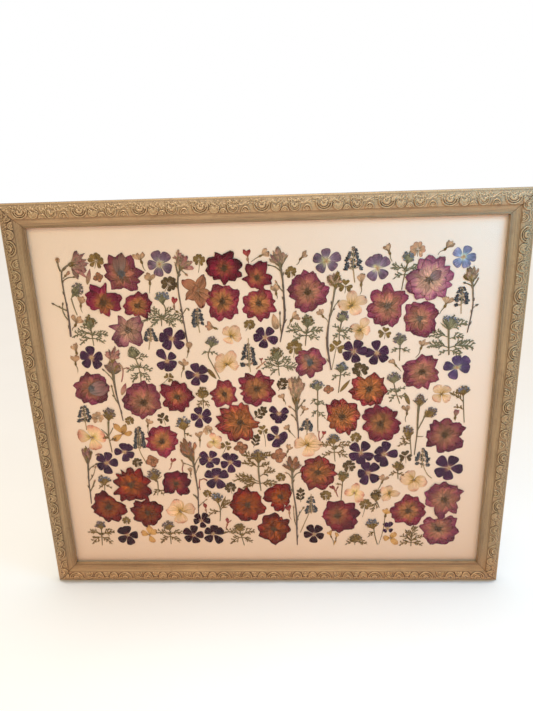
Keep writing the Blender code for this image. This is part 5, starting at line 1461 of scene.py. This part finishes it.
def tile_at(tile, along, out):
    """The tile's values at places on a rail."""
    s = (along + 10 * SCROLL_REPEAT) % SCROLL_REPEAT / TILE_STEP
    u = np.clip((np.broadcast_to(out[None], s.shape) - BAND[0]) / TILE_STEP, 0, tile.shape[2] - 1.001)
    s0, u0 = np.floor(s).astype(int), np.floor(u).astype(int)
    fs, fu = s - s0, u - u0
    s0, s1 = s0 % tile.shape[1], (s0 + 1) % tile.shape[1]
    return ((tile[:, s0, u0] * (1 - fs) + tile[:, s1, u0] * fs) * (1 - fu)
            + (tile[:, s0, u0 + 1] * (1 - fs) + tile[:, s1, u0 + 1] * fs) * fu)


def rail_face(half_sight, painted_contrast, tile):
    """The points of a rail's carved face, row by row, with the look and the place on the rail of each.

    The greater a rail's painted contrast, the brighter the painted highlights on its ridges and the darker the painted
    shade in its hollows."""
    section = evenly(FACE, FACE_STEP, closed=False)
    out, forward = section[:, 0], section[:, 1]
    half = half_sight + out - MITRE_GAP
    along = np.linspace(-1, 1, int(2 * half_sight / RAIL_PITCH) + 1)[:, None] * half[None]
    in_band = (out > BAND[0]) & (out < BAND[1])
    height, bright = tile_at(tile, along, out)
    slope = np.gradient(section, axis=0)
    normal = np.stack([-slope[:, 1], slope[:, 0]], 1) / np.linalg.norm(slope, axis=1)[:, None]
    combed = np.where((out > COVE[0]) & (out < COVE[1]), COMB_HEIGHT * np.sin(out * COMB_CROWDING), 0.0)
    raised = height * in_band[None] * RELIEF + combed[None]
    outwards, forwards = out[None] + normal[None, :, 0] * raised, forward[None] + normal[None, :, 1] * raised
    points = np.stack([along, -forwards, outwards], -1)
    # In the band, painted highlights and painted shade, made stronger by the rail's painted contrast.
    level = np.where(in_band[None], 0.53 + (bright - 0.50) * painted_contrast, np.interp(out, *PLAIN_GILT)[None])
    groove = sum(np.exp(-((out - place) / wide) ** 2) * deep for place, wide, deep in GROOVES)
    groove = groove + np.where(out <= 0.05, 0.1, 0.0)
    hollow = np.clip(np.maximum(1 - (half[None] - np.abs(along)) / 0.7, groove[None]), 0, 1)
    edge = np.where((out >= 30.9) & (forward < -1.9), 1.0, 0.0)
    looks = np.stack([level, np.broadcast_to(edge[None], level.shape), hollow], -1)
    spots = np.stack([along, np.broadcast_to(out[None], along.shape), along * 0], -1)
    return points, looks, spots


def make_rail(name, length, turn, painted_contrast, tile, material):
    """A rail's carved face on its CAD section, with the rebate and the back closed behind it."""
    points, looks, spots = rail_face(length / 2, painted_contrast, tile)
    rows, around = points.shape[:2]
    verts, looks, spots = ([field.reshape(-1, 3)] for field in (points, looks, spots))
    back = np.array(BACK)
    back_half = length / 2 + back[:, 0] - MITRE_GAP
    for side in (-1, 1):
        verts.append(np.stack([side * back_half, -back[:, 1], back[:, 0]], 1))
        looks.append(np.tile((0.2, 1.0, 0.0), (4, 1)))
        spots.append(np.stack([side * back_half, back[:, 0], back_half * 0], 1))
    first_back = rows * around
    faces = grid_faces(rows - 1, around)
    faces.extend([first_back + k, first_back + 4 + k, first_back + 5 + k, first_back + k + 1] for k in range(3))
    for start, base, way in ((0, first_back, 1), ((rows - 1) * around, first_back + 4, -1)):
        faces.append([*range(start, start + around), base + 1, base + 2][::way])
    mesh = bpy.data.meshes.new("carved_" + name)
    mesh.from_pydata((np.concatenate(verts) * MM).tolist(), [], faces)
    carry(mesh, relief=looks, rail=spots)
    size = (HIGH.x - LOW.x) if abs(math.sin(turn)) > 0.5 else (HIGH.z - LOW.z)
    reach = size / 2 - RAIL_WIDTH * MM
    centre = Vector((reach * math.sin(turn), LOW.y + LIP_SETBACK * MM, reach * math.cos(turn) + MIDDLE.z))
    mesh.transform(Matrix.Translation(centre) @ Matrix.Rotation(turn, 4, "Y"))
    mesh.materials.append(material)
    mesh.shade_smooth()
    mesh.set_sharp_from_angle(angle=math.radians(50))
    make_piece("carved_" + name, mesh, "aged_gilt_wood", name)


def make_rails():
    tile, material = ornament_tile(), gilt_material()
    wide, high = ((high - low) / MM - 2 * RAIL_WIDTH for low, high in ((LOW.x, HIGH.x), (LOW.z, HIGH.z)))
    # Each rail's painted contrast: strongest on the bottom and left rails.
    for name, length, turn, painted_contrast in (("frame_top", wide, 0.0, 1.0), ("frame_right", high, math.pi / 2, 1.2),
                                       ("frame_bottom", wide, math.pi, 2.1), ("frame_left", high, math.pi * 1.5, 1.8)):
        make_rail(name, length, turn, painted_contrast, tile, material)


# ---------------------------------------------------------------- hanger nails


def make_nail(name, place, radius, tall, material):
    """A domed nail head on the back, with a flat rim and a small hammer mark."""
    rings, around = 6, 20
    verts = []
    for k in range(rings + 1):
        t = k / rings * math.pi / 2
        flat = radius * min(math.cos(t) * 1.12, 1.0)
        for j in range(around):
            angle = 2 * math.pi * j / around
            dent = 0.06 * math.cos(angle - 0.7) * math.sin(t) ** 2
            verts.append((flat * math.cos(angle), tall * (math.sin(t) + dent), flat * math.sin(angle)))
    faces = []
    for k in range(rings):
        for j in range(around):
            a, b = k * around + j, k * around + (j + 1) % around
            faces.append((a, a + around, b + around, b))
    faces += [list(range(rings * around, (rings + 1) * around))[::-1], list(range(around))]
    mesh = bpy.data.meshes.new(name)
    mesh.from_pydata(verts, [], faces)
    mesh.transform(Matrix.Translation(place))
    mesh.materials.append(material)
    mesh.shade_smooth()
    mesh.set_sharp_from_angle(angle=math.radians(60))
    make_piece(name, mesh, "steel_pin")


def make_nails():
    low, high = (Vector(corner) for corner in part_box("sawtooth_hanger"))
    material = metal_material("nail_steel", (0.46, 0.44, 0.41), (0.20, 0.16, 0.12), 0.4)
    middle = (low + high) / 2
    aside = (high.x - low.x) / 2 - (high.z - low.z) / 2
    for side, name in ((-1, "hanger_nail_left"), (1, "hanger_nail_right")):
        make_nail(name, Vector((middle.x + side * aside, high.y - 0.05 * MM, middle.z)), 2.1 * MM, 0.7 * MM, material)


# ---------------------------------------------------------------- stage


def dress_cad():
    for node, material in (
        ("glass", glass_material()),
        ("mount_board", paper_material()),
        ("backing_board", card_material("grey_card", (0.36, 0.31, 0.25), (0.26, 0.22, 0.17), 300.0)),
        ("dust_cover", card_material("kraft_paper", (0.36, 0.22, 0.12), (0.25, 0.15, 0.08), 260.0)),
        ("sawtooth_hanger", metal_material("dull_brass", (0.42, 0.31, 0.14), (0.16, 0.11, 0.06), 0.35)),
    ):
        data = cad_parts[node].data
        data.materials.clear()
        data.materials.append(material)
    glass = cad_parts["glass"]
    glass.visible_shadow = glass.visible_diffuse = False


# Soft lamps: place, target, width and height, watts of red, green and blue.
LAMPS = {
    "softbox": ((0.0, -1.5, 1.2), (0.0, 0.0, 0.28), (1.4, 0.7), (8.6, 9.2, 6.6)),
    "floor_glow": ((0.0, -0.9, 0.05), (0.0, 0.0, 0.20), (1.6, 0.08), (1.8, 0.35, 0.05)),
    "cool_corner": ((0.45, -0.30, 0.72), (0.27, 0.0, 0.50), (0.3, 0.3), (0.15, 1.1, 2.3)),
}
OVERHEAD = (2.1, 2.0, 1.9)  # watts a square metre from a broad lamp straight above
OVERHEAD_SPREAD = math.radians(40)
ROOM = (0.30, 0.28, 0.26)  # the room's own glow
FLOOR_DARK, FLOOR_LIGHT = (0.93, 0.905, 0.865), (0.95, 0.925, 0.885)
# The photograph's viewpoint: a 28 mm lens close in front, above the middle, and looking a little down.
CAMERA_PLACE = (0.0321, -0.6962, 0.56735)
CAMERA_LENS = 27.85
CAMERA_TURNS = (math.radians(17.088), math.radians(2.57), math.radians(-1.059))


def make_room():
    """White where the camera sees it, and softly glowing for everything else."""
    world = bpy.data.worlds.new("studio")
    bpy.context.scene.world = world
    world.use_nodes = True
    tree = world.node_tree
    backdrop, room = tree.nodes["Background"], tree.nodes.new("ShaderNodeBackground")
    backdrop.inputs["Color"].default_value = (1.0, 1.0, 1.0, 1.0)
    room.inputs["Color"].default_value = (*ROOM, 1.0)
    mix = tree.nodes.new("ShaderNodeMixShader")
    seen = tree.nodes.new("ShaderNodeLightPath")
    for output, socket in ((seen.outputs["Is Camera Ray"], mix.inputs["Fac"]), (room.outputs[0], mix.inputs[1]),
                           (backdrop.outputs[0], mix.inputs[2]),
                           (mix.outputs[0], tree.nodes["World Output"].inputs["Surface"])):
        tree.links.new(output, socket)


def make_lamp(name, kind, place, target, watts):
    data = bpy.data.lights.new(name, kind)
    data.energy = max(watts)
    data.color = [w / max(watts) for w in watts]
    lamp = bpy.data.objects.new(name, data)
    lamp.location = place
    lamp.rotation_euler = (Vector(target) - Vector(place)).to_track_quat("-Z", "Y").to_euler()
    lamp.visible_camera = lamp.visible_transmission = False
    lamp.visible_glossy = name not in ("floor_glow", "cool_corner")
    bpy.context.scene.collection.objects.link(lamp)
    return lamp


def make_lamps():
    """A broad lamp above that lights the floor, a softbox in front, and a cool and a warm glow."""
    for name, (place, target, size, watts) in LAMPS.items():
        lamp = make_lamp(name, "AREA", place, target, watts)
        lamp.data.shape = "RECTANGLE"
        lamp.data.size, lamp.data.size_y = size
    sky = make_lamp("overhead", "SUN", (0.0, 0.0, 3.0), (0.0, 0.0, 0.0), OVERHEAD)
    sky.data.angle = OVERHEAD_SPREAD


def make_camera():
    pitch, yaw, roll = CAMERA_TURNS
    upright = Matrix(((1, 0, 0), (0, 0, -1), (0, 1, 0)))
    look = (Matrix.Rotation(roll, 3, "Z") @ Matrix.Rotation(yaw, 3, "Y") @ Matrix.Rotation(pitch, 3, "X")) @ upright
    right, down, ahead = look
    camera = bpy.data.objects.new("camera", bpy.data.cameras.new("camera"))
    camera.data.lens = CAMERA_LENS
    camera.data.clip_start = 0.01
    turn = Matrix((right, -down, -ahead)).transposed().to_4x4()
    camera.matrix_world = Matrix.Translation(CAMERA_PLACE) @ turn
    bpy.context.scene.collection.objects.link(camera)
    bpy.context.scene.camera = camera


def make_stage():
    n = Nodes("pale_floor")
    n.feed(n.shader.inputs["Base Color"], n.ramp(n.noise(3.0), (0.3, *FLOOR_DARK), (0.7, *FLOOR_LIGHT)))
    n.shader.inputs["Roughness"].default_value = 0.9
    mesh = bpy.data.meshes.new("floor")
    mesh.from_pydata([(-30, -30, 0), (30, -30, 0), (30, 30, 0), (-30, 30, 0)], [], [(0, 1, 2, 3)])
    mesh.materials.append(n.material)
    floor = bpy.data.objects.new("floor", mesh)
    floor.location.z = -0.0005
    bpy.context.scene.collection.objects.link(floor)
    make_room()
    make_lamps()
    bpy.context.scene.view_settings.view_transform = "Standard"


def make_each(maker, table):
    for number, row in enumerate(table, start=1):
        maker(number, *row)


def main():
    make_camera()
    make_stage()
    dress_cad()
    make_rails()
    make_each(make_rose, ROSES)
    for name, stems in TALL_FLOWERS.items():
        make_tall_flower(name, stems)
    for maker, table in ((make_phlox, PHLOX), (make_pale_flower, PALE_FLOWERS), (make_clover, CLOVERS),
                         (make_bud, BUDS), (make_curl, CURLS), (make_loose_leaf, LEAVES), (make_lupin, LUPINS),
                         (make_sprig, SPRIGS)):
        make_each(maker, table)
    make_nails()


main()
